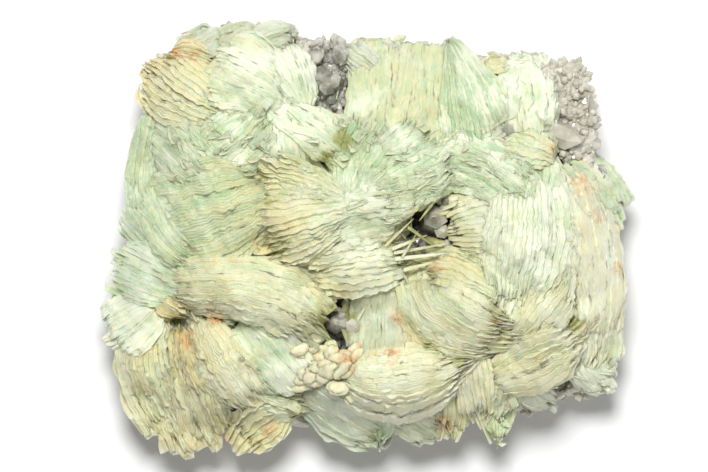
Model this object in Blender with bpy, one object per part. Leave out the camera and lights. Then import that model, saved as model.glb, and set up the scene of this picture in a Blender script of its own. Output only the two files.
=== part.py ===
"""Prehnite with quartz: a hand-sized mineral specimen lying on the broken back of its rock.

It is two minerals. The quartz matrix is a rough plate with a druse of stubby crystals, bare at
the right corner, at the top edge and in two small pockets. The prehnite crust covers the rest:
about fifty fans of thin plates, all grown into each other over a bed of smaller ones, so they
are one solid. Here each fan is a ribbed dome.

Metres, +Z up. The specimen rests on the floor at Z = 0, with the origin at the middle of its
underside. +Y is the edge that is at the top when it is looked down on.
"""

from collections import namedtuple

import bmesh
import bpy
from mathutils import Matrix, Vector

MM = 0.001

# The plate of rock under everything
MATRIX_TOP = 14.0
MATRIX_WAIST = 6.5
FOOT_SHRINK = 0.9
TOP_SHRINK = 0.97
GAP = 0.3

# A fan as a solid
STATIONS = 4
GROOVE = 0.9
LEAST_THICKNESS = 3.0
DEEPEST_FLOOR = 9.0
FLOOR_STEP = 0.037

# How far to each side of a place its heading along the fan is read, as a share of the fan
HEADING_REACH = 0.01

# A quartz crystal, as shares of its radius
CRYSTAL_SIDES = 6
POINT_HEIGHT = 0.95
POINT_WIDTH = 0.16

PREHNITE_COLOUR = (0.62, 0.72, 0.50, 1.0)
PREHNITE_ROUGHNESS = 0.45
QUARTZ_COLOUR = (0.50, 0.49, 0.46, 1.0)
QUARTZ_ROUGHNESS = 0.35

# Outline of the rock seen from above, anticlockwise from the upper left corner, in millimetres
OUTLINE = (
    (-41.2, 33.4), (-43.0, 23.6), (-44.8, 7.6), (-47.6, -8.4), (-48.8, -21.0),
    (-39.2, -31.0), (-25.2, -36.6), (-13.2, -36.6), (2.8, -39.4), (14.8, -38.8),
    (30.8, -36.4), (38.8, -33.2), (46.6, -31.6), (50.6, -27.0), (50.2, -12.4),
    (49.4, 1.6), (47.0, 11.6), (47.4, 20.6), (46.0, 30.6), (44.2, 35.8),
    (34.8, 36.2), (26.8, 35.4), (14.8, 37.0), (1.8, 39.4), (-7.2, 41.0),
    (-14.6, 42.0), (-21.2, 43.6), (-30.2, 43.6), (-36.0, 42.2),
)

# Quartz that stands up beside the crust: outline and top, in millimetres
RIGHT_CORNER = (
    (34.6, 35.6), (33.8, 28.0), (34.2, 22.0), (37.4, 15.0), (42.0, 11.6),
    (46.6, 12.2), (47.0, 20.6), (45.6, 30.4), (43.8, 35.4),
)
RIGHT_CORNER_TOP = 20.5
RIGHT_CORNER_SHRINK = 0.86
TOP_MIDDLE = (
    (-14.2, 40.6), (-14.8, 34.0), (-12.6, 27.6), (-8.6, 21.6), (-4.6, 22.4),
    (-2.6, 29.6), (-2.4, 39.2), (-7.2, 40.4),
)
TOP_MIDDLE_TOP = 18.5
TOP_MIDDLE_SHRINK = 0.84

# How both start below and how deep their slanting upper edge is
STANDING_FOOT_SHRINK = 0.9
STANDING_EDGE = 3.0

# The bed of small prehnite that closes the gaps between the fans: outline and top, in millimetres
BED = (
    (-37.6, 32.0), (-40.4, 20.0), (-41.6, 6.0), (-44.0, -8.0), (-45.0, -19.0),
    (-37.4, -28.0), (-24.0, -33.4), (-12.0, -33.4), (2.0, -35.6), (14.0, -35.0),
    (28.0, -32.0), (38.0, -29.4), (45.4, -27.4), (46.2, -12.0), (45.6, 0.0),
    (43.4, 9.4), (33.4, 14.4), (30.6, 24.0), (31.6, 33.0), (24.0, 34.4),
    (14.0, 35.4), (3.0, 37.0), (-0.4, 35.0), (-1.6, 26.4), (-6.0, 19.4),
    (-12.2, 21.6), (-17.0, 29.0), (-17.4, 39.4), (-28.0, 41.0), (-35.0, 38.4),
)
BED_TOP = 20.5
BED_FOOT = 10.2
BED_EDGE = 5.0
BED_SHRINK = 0.93

# Two pockets in the bed, where the quartz shows: middle, and half their width and height
POCKETS = (
    ((12.0, 2.0), (4.6, 6.2)),
    ((-5.4, -16.4), (4.9, 5.6)),
)
POCKET_SIDES = 9

# A fan of plates: three points along its middle, half its width at each, how far its sides
# drop, and how many ribs stand for its plates. Millimetres, with Z up from the floor.
Fan = namedtuple("Fan", "name start middle end widths drop ribs")

FANS = (
    Fan("top_edge_face", (-37.2, 37.6, 16), (-26.0, 40.0, 20), (-13.4, 39.8, 19), (1.8, 2.6, 2.6), 1.0, 1),
    Fan("upper_left_fan", (-27.2, 24.0, 27), (-36.0, 29.2, 27), (-43.6, 31.0, 16), (3.0, 7.4, 7.0), 3.0, 4),
    Fan("white_face", (-13.2, 27.6, 25), (-21.6, 32.4, 30), (-28.8, 32.8, 28), (3.4, 5.6, 5.6), 1.5, 2),
    Fan("radial_face", (-9.6, 26.6, 22), (-13.2, 30.8, 25), (-16.6, 34.4, 24), (1.6, 4.2, 5.0), 1.0, 2),
    Fan("upper_pale_face", (-16.0, 22.4, 29), (-15.4, 18.2, 31), (-14.8, 14.2, 30), (3.2, 5.6, 6.4), 1.2, 2),
    Fan("clear_plate", (-20.8, 26.0, 28), (-12.2, 22.8, 27), (-4.0, 17.2, 25), (2.6, 3.8, 2.6), 1.2, 1),
    Fan("left_broken", (-44.6, 19.6, 17), (-37.2, 20.0, 26), (-30.2, 17.6, 28), (5.4, 6.4, 5.2), 2.0, 3),
    Fan("middle_broken", (-32.2, 13.2, 28), (-25.6, 18.0, 29), (-19.2, 23.2, 28), (4.8, 5.8, 5.2), 2.0, 3),
    Fan("ridged_left", (-39.6, 3.2, 26), (-30.8, 5.2, 30), (-20.8, 9.2, 29), (7.0, 9.6, 7.2), 3.0, 5),
    Fan("left_edge_bands", (-45.4, 15.6, 16), (-44.4, 5.6, 22), (-38.0, -4.0, 26), (2.6, 4.2, 4.6), 2.0, 2),
    Fan("left_low_face", (-38.8, -4.0, 26), (-44.4, -7.4, 23), (-49.2, -12.2, 13), (3.8, 5.2, 4.8), 2.0, 2),
    Fan("comb_fan", (-37.2, -10.0, 29), (-23.2, -11.0, 33), (-10.4, -17.4, 30), (4.2, 5.9, 5.3), 2.4, 4),
    Fan("green_face", (-20.8, -18.4, 26), (-17.2, -24.8, 26), (-13.8, -31.2, 18), (4.6, 5.6, 4.2), 1.6, 2),
    Fan("low_left_fan", (-31.6, -17.6, 28), (-27.6, -26.4, 28), (-20.6, -34.0, 19), (4.2, 5.6, 5.2), 2.2, 3),
    Fan("corner_plates", (-43.2, -20.4, 23), (-42.6, -28.0, 20), (-40.4, -33.4, 10), (6.0, 6.8, 5.0), 3.0, 4),
    Fan("bottom_teeth", (-34.2, -25.4, 24), (-32.6, -33.0, 21), (-30.8, -40.6, 9), (4.4, 6.2, 7.4), 2.0, 4),
    Fan("bottom_blades", (-14.6, -32.0, 20), (-19.2, -35.2, 18), (-22.2, -39.8, 9), (2.8, 4.6, 5.0), 1.6, 3),
    Fan("chalky_corner", (-41.8, -14.8, 22), (-46.6, -16.4, 20), (-50.8, -18.8, 10), (4.4, 5.4, 4.8), 2.0, 2),
    Fan("central_fan", (-0.8, 6.0, 31), (-9.6, 3.2, 35), (-18.6, 2.0, 33), (2.8, 7.2, 7.8), 3.0, 4),
    Fan("star_upper", (-2.8, 6.6, 31), (5.8, 11.0, 33), (14.8, 16.6, 30), (2.8, 6.6, 8.0), 2.4, 4),
    Fan("star_lower", (-2.8, 6.4, 31), (4.2, 4.6, 32), (10.6, 4.2, 29), (2.6, 4.4, 3.4), 1.8, 2),
    Fan("shell_fan", (-8.8, -4.8, 29), (-1.6, -6.4, 31), (5.0, -6.2, 28), (2.8, 4.8, 5.0), 2.4, 3),
    Fan("pocket_face", (19.4, 2.0, 28), (24.0, 2.6, 31), (29.6, 5.2, 31), (6.0, 6.8, 6.6), 1.6, 2),
    Fan("right_blades", (28.6, 14.6, 30), (31.0, 2.4, 33), (32.6, -9.4, 30), (5.0, 6.8, 6.2), 2.4, 4),
    Fan("right_long", (35.8, 15.6, 27), (39.6, 2.6, 31), (42.4, -10.0, 27), (3.2, 3.8, 3.2), 2.0, 2),
    Fan("far_right", (41.6, 10.6, 26), (47.2, -5.4, 23), (46.6, -22.8, 15), (2.6, 4.6, 4.8), 3.4, 3),
    Fan("right_shoulder", (42.6, 14.2, 24), (46.6, 9.4, 21), (49.8, 4.2, 13), (2.8, 4.0, 3.4), 1.6, 1),
    Fan("pink_ribs", (33.6, 9.6, 30), (32.4, 14.8, 30), (32.0, 19.4, 27), (4.6, 5.2, 4.0), 2.0, 3),
    Fan("green_spray", (19.4, 37.4, 19), (20.8, 30.6, 27), (21.6, 23.8, 26), (2.0, 4.8, 6.2), 2.2, 3),
    Fan("white_block", (34.0, 33.2, 23), (32.4, 28.6, 26), (30.4, 23.6, 25), (4.2, 4.6, 3.8), 1.2, 2),
    Fan("cream_upper", (6.4, 36.0, 21), (5.6, 28.2, 28), (4.4, 19.2, 30), (6.4, 8.0, 7.0), 2.6, 4),
    Fan("top_cream", (-3.6, 35.0, 20), (1.2, 36.4, 22), (7.2, 37.2, 18), (3.6, 3.4, 2.6), 1.4, 1),
    Fan("pale_between", (12.6, 36.8, 18), (13.4, 32.0, 24), (14.8, 26.4, 25), (3.2, 3.6, 3.2), 1.2, 1),
    Fan("top_scraps", (23.4, 35.4, 18), (27.4, 33.6, 21), (31.4, 32.6, 21), (2.2, 2.6, 2.4), 1.0, 1),
    Fan("bottom_dome", (-8.8, -26.8, 26), (4.4, -28.8, 31), (17.8, -26.0, 25), (4.6, 6.4, 3.8), 3.4, 4),
    Fan("knob_plates", (-3.6, -26.8, 28), (-8.0, -26.4, 27), (-12.4, -25.6, 23), (3.8, 4.2, 3.2), 1.6, 2),
    Fan("low_face", (-9.6, -31.4, 20), (-4.2, -34.6, 19), (2.2, -38.0, 11), (3.8, 4.6, 3.6), 1.2, 2),
    Fan("low_clear", (-18.2, -33.8, 16), (-13.6, -34.8, 15), (-9.8, -36.4, 10), (2.4, 2.8, 2.6), 1.0, 1),
    Fan("bottom_tip", (1.2, -36.4, 16), (2.4, -40.0, 13), (3.2, -43.6, 9), (4.2, 3.4, 1.6), 1.2, 1),
    Fan("low_green", (4.4, -34.6, 20), (9.4, -36.6, 17), (14.8, -36.8, 11), (3.4, 3.8, 3.2), 1.2, 2),
    Fan("upright_plates", (20.0, -22.4, 26), (20.0, -29.4, 23), (22.2, -36.0, 13), (3.8, 4.8, 3.6), 1.8, 3),
    Fan("bottom_spike", (26.6, -32.4, 18), (27.0, -36.4, 14), (26.8, -40.8, 9), (4.2, 3.0, 1.2), 1.0, 1),
    Fan("outer_arc", (8.8, -10.8, 26), (12.8, -17.4, 29), (22.8, -20.4, 27), (2.8, 3.8, 2.8), 1.8, 2),
    Fan("inner_arc", (14.2, -7.0, 30), (19.2, -12.4, 33), (27.8, -16.0, 30), (3.8, 6.0, 4.8), 2.4, 3),
    Fan("leaf_upper", (29.6, -20.8, 28), (34.4, -15.6, 32), (39.4, -9.4, 28), (3.2, 5.2, 4.8), 2.4, 3),
    Fan("leaf_lower", (26.6, -29.2, 22), (33.2, -26.2, 26), (41.2, -22.0, 22), (3.4, 5.0, 4.2), 2.2, 3),
    Fan("small_cross", (41.2, -18.4, 24), (43.8, -16.8, 25), (46.8, -14.8, 24), (1.8, 2.2, 1.8), 0.8, 1),
    Fan("pocket_lower_face", (0.8, -22.4, 22), (2.6, -17.4, 23), (4.2, -12.4, 22), (3.6, 4.0, 3.6), 1.0, 1),
    Fan("low_right_chunk", (43.0, -21.4, 15), (46.4, -25.6, 14), (48.2, -29.0, 9), (3.0, 3.6, 3.0), 1.0, 1),
    Fan("white_wisps", (15.8, 17.6, 29), (21.8, 17.4, 30), (27.8, 17.0, 28), (3.6, 4.6, 4.2), 1.4, 2),
)

# A quartz crystal: where its foot is, which way it points, its radius and its length
Crystal = namedtuple("Crystal", "foot points radius length")

CRYSTALS = (
    Crystal((36.0, 21.0, 19.0), (0.86, -0.40, 0.28), 2.5, 7.6),
    Crystal((39.6, 15.8, 18.0), (0.80, 0.46, 0.40), 2.7, 5.6),
    Crystal((26.4, 18.6, 12.5), (0.10, 0.12, 0.98), 3.4, 13.0),
    Crystal((18.6, 22.8, 12.5), (-0.06, -0.10, 0.99), 2.9, 11.5),
    Crystal((-13.6, 37.6, 16.0), (0.20, -0.30, 0.93), 2.2, 5.4),
    Crystal((-9.8, 38.4, 15.0), (-0.20, 0.10, 0.97), 2.0, 6.0),
    Crystal((-11.8, 33.8, 16.0), (0.30, -0.20, 0.93), 2.2, 5.6),
    Crystal((-8.0, 32.2, 16.0), (-0.10, -0.30, 0.95), 2.4, 5.6),
    Crystal((-5.4, 36.0, 15.0), (0.20, 0.20, 0.96), 2.2, 6.2),
    Crystal((-6.0, 27.0, 16.0), (-0.20, 0.20, 0.96), 2.0, 4.6),
    Crystal((37.4, 31.8, 18.0), (-0.20, 0.30, 0.93), 2.4, 4.8),
    Crystal((41.4, 30.6, 18.0), (0.30, 0.10, 0.95), 2.6, 5.0),
    Crystal((38.2, 27.0, 18.0), (0.10, -0.20, 0.97), 2.2, 4.8),
    Crystal((42.8, 25.4, 18.0), (0.20, -0.10, 0.97), 2.4, 4.6),
    Crystal((-5.4, -18.0, 12.5), (-0.10, 0.10, 0.99), 2.6, 6.0),
    Crystal((-6.4, -13.8, 12.5), (0.20, -0.20, 0.96), 1.8, 4.2),
    Crystal((12.6, 1.6, 12.5), (0.10, 0.20, 0.97), 2.4, 5.2),
    Crystal((9.8, -2.0, 12.5), (-0.20, -0.10, 0.97), 2.0, 5.0),
)


def clear_scene():
    for obj in list(bpy.data.objects):
        bpy.data.objects.remove(obj, do_unlink=True)


def collection_named(name):
    found = bpy.data.collections.new(name)
    bpy.context.scene.collection.children.link(found)
    return found


def stone(name, colour, roughness):
    """A plain mineral finish."""
    made = bpy.data.materials.new(name)
    made.use_nodes = True
    shader = made.node_tree.nodes["Principled BSDF"]
    shader.inputs["Base Color"].default_value = colour
    shader.inputs["Roughness"].default_value = roughness
    shader.inputs["Metallic"].default_value = 0.0
    return made


def object_of(name, bm, home):
    """The object of a finished bmesh, with its faces pointing out."""
    bmesh.ops.recalc_face_normals(bm, faces=bm.faces)
    mesh = bpy.data.meshes.new(name)
    bm.to_mesh(mesh)
    bm.free()
    obj = bpy.data.objects.new(name, mesh)
    home.objects.link(obj)
    return obj


def hide(obj):
    """Marks a helper, which is no part of the specimen."""
    obj.hide_render = True
    obj.display_type = "WIRE"


def through(first, middle, last, share):
    """The value at this share of a curve that passes the three given ones."""
    return (
        first * (1 - share) * (1 - 2 * share)
        + middle * 4 * share * (1 - share)
        + last * share * (2 * share - 1)
    )


def fan_point(fan, along, across):
    """A point of a fan's top: along from 0 to 1, across from -1 to 1. Millimetres."""
    start, middle, end = Vector(fan.start), Vector(fan.middle), Vector(fan.end)
    here = through(start, middle, end, along)
    ahead = through(start, middle, end, along + HEADING_REACH)
    behind = through(start, middle, end, along - HEADING_REACH)
    heading = ahead - behind
    aside = Vector((-heading.y, heading.x, 0)).normalized()
    half = through(*fan.widths, along)
    return here + aside * half * across - Vector((0, 0, fan.drop * across**2))


def fan_solid(fan, order, home):
    """A ribbed dome: a grid laid over the fan, its rows alternately rib and groove, closed below."""
    rows = 2 * fan.ribs
    bm = bmesh.new()
    bmesh.ops.create_grid(bm, x_segments=STATIONS, y_segments=rows, size=1.0)
    for vert in bm.verts:
        along = (vert.co.x + 1) / 2
        across = vert.co.y
        row = round((across + 1) / 2 * rows)
        groove = GROOVE if row % 2 == 0 else 0.0
        vert.co = fan_point(fan, along, across) - Vector((0, 0, groove))
    lowest = min(vert.co.z for vert in bm.verts)
    floor = min(lowest - LEAST_THICKNESS, DEEPEST_FLOOR) - FLOOR_STEP * order
    top = list(bm.faces)
    below = bmesh.ops.extrude_face_region(bm, geom=top, use_keep_orig=True)["geom"]
    for vert in (item for item in below if isinstance(item, bmesh.types.BMVert)):
        vert.co.z = floor
    underside = [item for item in below if isinstance(item, bmesh.types.BMFace)]
    bmesh.ops.dissolve_faces(bm, faces=underside)
    bmesh.ops.scale(bm, vec=(MM, MM, MM), verts=bm.verts)
    return object_of("fan_" + fan.name, bm, home)


def slab(name, outline, levels, grow, home):
    """A block of rock: the outline at each of several levels, as (height, share of its size)."""
    middle = Vector((sum(p[0] for p in outline), sum(p[1] for p in outline))) / len(outline)
    bm = bmesh.new()
    ring = bmesh.ops.create_circle(bm, segments=len(outline), radius=1.0, cap_ends=True)["verts"]
    for index, (height, share) in enumerate(levels):
        if index:
            face = next(f for f in bm.faces if all(v in ring for v in f.verts))
            made = bmesh.ops.extrude_face_region(bm, geom=[face])["geom"]
            raised = next(item for item in made if isinstance(item, bmesh.types.BMFace))
            by_place = {tuple(v.co): v for v in raised.verts}
            ring = [by_place[tuple(v.co)] for v in ring]
            if index > 1 and face.is_valid:
                bmesh.ops.delete(bm, geom=[face], context="FACES_ONLY")
        for vert, corner in zip(ring, outline):
            spoke = Vector(corner) - middle
            place = middle + spoke * share + spoke.normalized() * grow
            lift = grow if index == len(levels) - 1 else 0.0
            vert.co = Vector((place.x, place.y, height + lift))
    bmesh.ops.scale(bm, vec=(MM, MM, MM), verts=bm.verts)
    return object_of(name, bm, home)


def crystal_solid(name, crystal, grow, home):
    """A six-sided prism with a blunt point, standing on its foot."""
    radius = crystal.radius + grow
    shaft = crystal.length - crystal.radius * POINT_HEIGHT + grow
    bm = bmesh.new()
    bmesh.ops.create_cone(
        bm, cap_ends=True, segments=CRYSTAL_SIDES, radius1=radius, radius2=radius, depth=shaft
    )
    cap = max(bm.faces, key=lambda face: face.calc_center_median().z)
    raised = bmesh.ops.extrude_face_region(bm, geom=[cap])["geom"]
    tip = [item for item in raised if isinstance(item, bmesh.types.BMVert)]
    bmesh.ops.scale(bm, vec=(POINT_WIDTH, POINT_WIDTH, 1.0), verts=tip)
    bmesh.ops.translate(bm, vec=(0, 0, crystal.radius * POINT_HEIGHT), verts=tip)
    if cap.is_valid:
        bmesh.ops.delete(bm, geom=[cap], context="FACES_ONLY")
    bmesh.ops.translate(bm, vec=(0, 0, shaft / 2), verts=bm.verts)
    turn = Vector(crystal.points).to_track_quat("Z", "Y").to_matrix().to_4x4()
    place = Matrix.Translation(Vector(crystal.foot)) @ turn
    bmesh.ops.transform(bm, matrix=Matrix.Scale(MM, 4) @ place, verts=bm.verts)
    return object_of(name, bm, home)


def joined(base, others, operation="UNION"):
    """Joins or cuts base by a collection of meshes, and makes the result its own mesh."""
    modifier = base.modifiers.new(operation.title(), "BOOLEAN")
    modifier.operation = operation
    modifier.operand_type = "COLLECTION"
    modifier.collection = others
    modifier.solver = "EXACT"
    graph = bpy.context.evaluated_depsgraph_get()
    made = bpy.data.meshes.new_from_object(base.evaluated_get(graph))
    base.modifiers.clear()
    base.data = made
    return base


def keep_largest(obj):
    """Drops chips that a cut has split from the main body."""
    bm = bmesh.new()
    bm.from_mesh(obj.data)
    bodies, seen = [], set()
    for seed in bm.verts:
        if seed in seen:
            continue
        body, edge = {seed}, [seed]
        while edge:
            for link in edge.pop().link_edges:
                for vert in link.verts:
                    if vert not in body:
                        body.add(vert)
                        edge.append(vert)
        seen |= body
        bodies.append(body)
    bodies.sort(key=len)
    for body in bodies[:-1]:
        bmesh.ops.delete(bm, geom=list(body), context="VERTS")
    bm.to_mesh(obj.data)
    bm.free()


def rock(prefix, grow, home):
    """The quartz: the plate, its two bare corners and its crystals. Grown, it is a cutter."""
    plate_levels = ((0.0 - grow, FOOT_SHRINK), (MATRIX_WAIST, 1.0), (MATRIX_TOP, TOP_SHRINK))
    plate = slab(prefix + "plate", OUTLINE, plate_levels, grow, bpy.context.scene.collection)
    standing = (
        ("corner", RIGHT_CORNER, RIGHT_CORNER_TOP, RIGHT_CORNER_SHRINK),
        ("middle", TOP_MIDDLE, TOP_MIDDLE_TOP, TOP_MIDDLE_SHRINK),
    )
    for name, outline, top, shrink in standing:
        levels = ((MATRIX_WAIST, STANDING_FOOT_SHRINK), (top - STANDING_EDGE, 1.0), (top, shrink))
        slab(prefix + name, outline, levels, grow, home)
    for number, crystal in enumerate(CRYSTALS, 1):
        crystal_solid(f"{prefix}crystal_{number:02d}", crystal, grow, home)
    return joined(plate, home)


def pocket_cutter(name, middle, half, home):
    """An oval column right through the bed."""
    bm = bmesh.new()
    bmesh.ops.create_cone(
        bm, cap_ends=True, segments=POCKET_SIDES, radius1=1.0, radius2=1.0, depth=BED_TOP * 2
    )
    bmesh.ops.scale(bm, vec=(half[0], half[1], 1.0), verts=bm.verts)
    bmesh.ops.translate(bm, vec=(middle[0], middle[1], BED_TOP), verts=bm.verts)
    bmesh.ops.scale(bm, vec=(MM, MM, MM), verts=bm.verts)
    return object_of(name, bm, home)


def crust(home, pockets):
    """The prehnite: the bed and every fan joined into one solid."""
    levels = ((BED_FOOT, 1.0), (BED_TOP - BED_EDGE, 1.0), (BED_TOP, BED_SHRINK))
    bed = slab("bed", BED, levels, 0.0, bpy.context.scene.collection)
    for number, (middle, half) in enumerate(POCKETS, 1):
        pocket_cutter(f"pocket_{number}", middle, half, pockets)
    joined(bed, pockets, "DIFFERENCE")
    for order, fan in enumerate(FANS):
        fan_solid(fan, order, home)
    return joined(bed, home)


def main():
    clear_scene()
    specimen = collection_named("prehnite_with_quartz")
    helpers = collection_named("joined_shapes")
    names = ("fans", "pockets", "quartz", "cutter", "cut")
    groups = [bpy.data.collections.new(name) for name in names]
    for group in groups:
        helpers.children.link(group)
    fans, pockets, quartz, grown, cut = groups

    quartz_matrix = rock("quartz_", 0.0, quartz)
    cutter = rock("cutter_", GAP, grown)
    prehnite_crust = crust(fans, pockets)
    bpy.context.scene.collection.objects.unlink(cutter)
    cut.objects.link(cutter)
    joined(prehnite_crust, cut, "DIFFERENCE")
    keep_largest(prehnite_crust)

    for group in groups:
        for helper in group.objects:
            hide(helper)
    finishes = (
        (quartz_matrix, "quartz_matrix", stone("quartz", QUARTZ_COLOUR, QUARTZ_ROUGHNESS)),
        (prehnite_crust, "prehnite_crust", stone("prehnite", PREHNITE_COLOUR, PREHNITE_ROUGHNESS)),
    )
    for obj, name, material in finishes:
        obj.name = name
        obj.data.materials.clear()
        obj.data.materials.append(material)
        bpy.context.scene.collection.objects.unlink(obj)
        specimen.objects.link(obj)


main()
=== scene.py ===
"""Prehnite with quartz, as it looks: the crust of plates, the rock, its crystals, and the light.

The crust is made of fans of plates that have grown into each other. Each fan is one closed sheet:
its plates lean over each other like roof tiles, with toothed rims, breaks and uneven ends. Lengths
are in millimetres until a mesh is finished.
"""

import math
from collections import namedtuple

import bmesh
import bpy
import numpy as np
from mathutils import Matrix, Vector
from mathutils.bvhtree import BVHTree


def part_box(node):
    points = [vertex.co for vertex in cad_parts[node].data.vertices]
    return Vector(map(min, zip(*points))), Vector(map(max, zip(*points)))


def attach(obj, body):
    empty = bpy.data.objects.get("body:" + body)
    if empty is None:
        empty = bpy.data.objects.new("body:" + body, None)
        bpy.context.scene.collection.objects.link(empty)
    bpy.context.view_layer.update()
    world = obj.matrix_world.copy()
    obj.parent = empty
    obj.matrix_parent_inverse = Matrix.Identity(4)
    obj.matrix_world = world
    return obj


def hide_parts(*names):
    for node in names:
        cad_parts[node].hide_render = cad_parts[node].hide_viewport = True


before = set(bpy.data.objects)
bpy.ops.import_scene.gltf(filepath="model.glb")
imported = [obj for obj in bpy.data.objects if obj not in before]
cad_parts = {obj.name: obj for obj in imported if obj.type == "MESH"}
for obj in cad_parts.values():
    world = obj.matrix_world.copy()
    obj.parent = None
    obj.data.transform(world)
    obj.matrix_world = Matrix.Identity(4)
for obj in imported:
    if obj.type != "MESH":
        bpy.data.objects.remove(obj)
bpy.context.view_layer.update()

MM = 0.001
SEED = 20

# Colours of the real specimen, as sRGB, and of the painted shade and highlight
GREEN = "#B9D2AC"
CHALK = "#ECF2DC"
STRAW = "#E8D9A8"
TAN = "#DEB480"
ORANGE = "#CB8334"
# Olive: painted shade in the grooves, under the plates and in the hollows
OLIVE_SHADE = "#A3A55A"
# Near black: painted shade in the deepest hollows
DEEP_SHADE = "#4A4526"
# Pale cream: the rims' own colour, and a painted highlight on them
RIM_AND_HIGHLIGHT = "#F4EFD0"
GLASS = "#C6D4B6"
SMOKE = "#BFBBAA"
MILK = "#E2DECF"
UMBER = "#6B5A4C"
ASH = "#8E8E82"
FOG = "#D2D0C4"
PAPER = "#F2F2F2"

# A fan follows a curve through three points, each with half its width, and its plates stand this
# far apart. Their rims stand up by its relief, leaning the other way where that is below zero. Then
# how chalky, straw-coloured and rusty it is from root to tip, how far it lies above the crust, how
# far its tip bows out, how long its plates run unbroken, how much they differ in colour, and
# whether it is glassy.
Fan = namedtuple(
    "Fan", "name root middle tip widths pitch relief frost straw rust lift bow unbroken vary glassy",
    defaults=(0.0, 0.8, 9.0, 0.20, 0),
)

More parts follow.
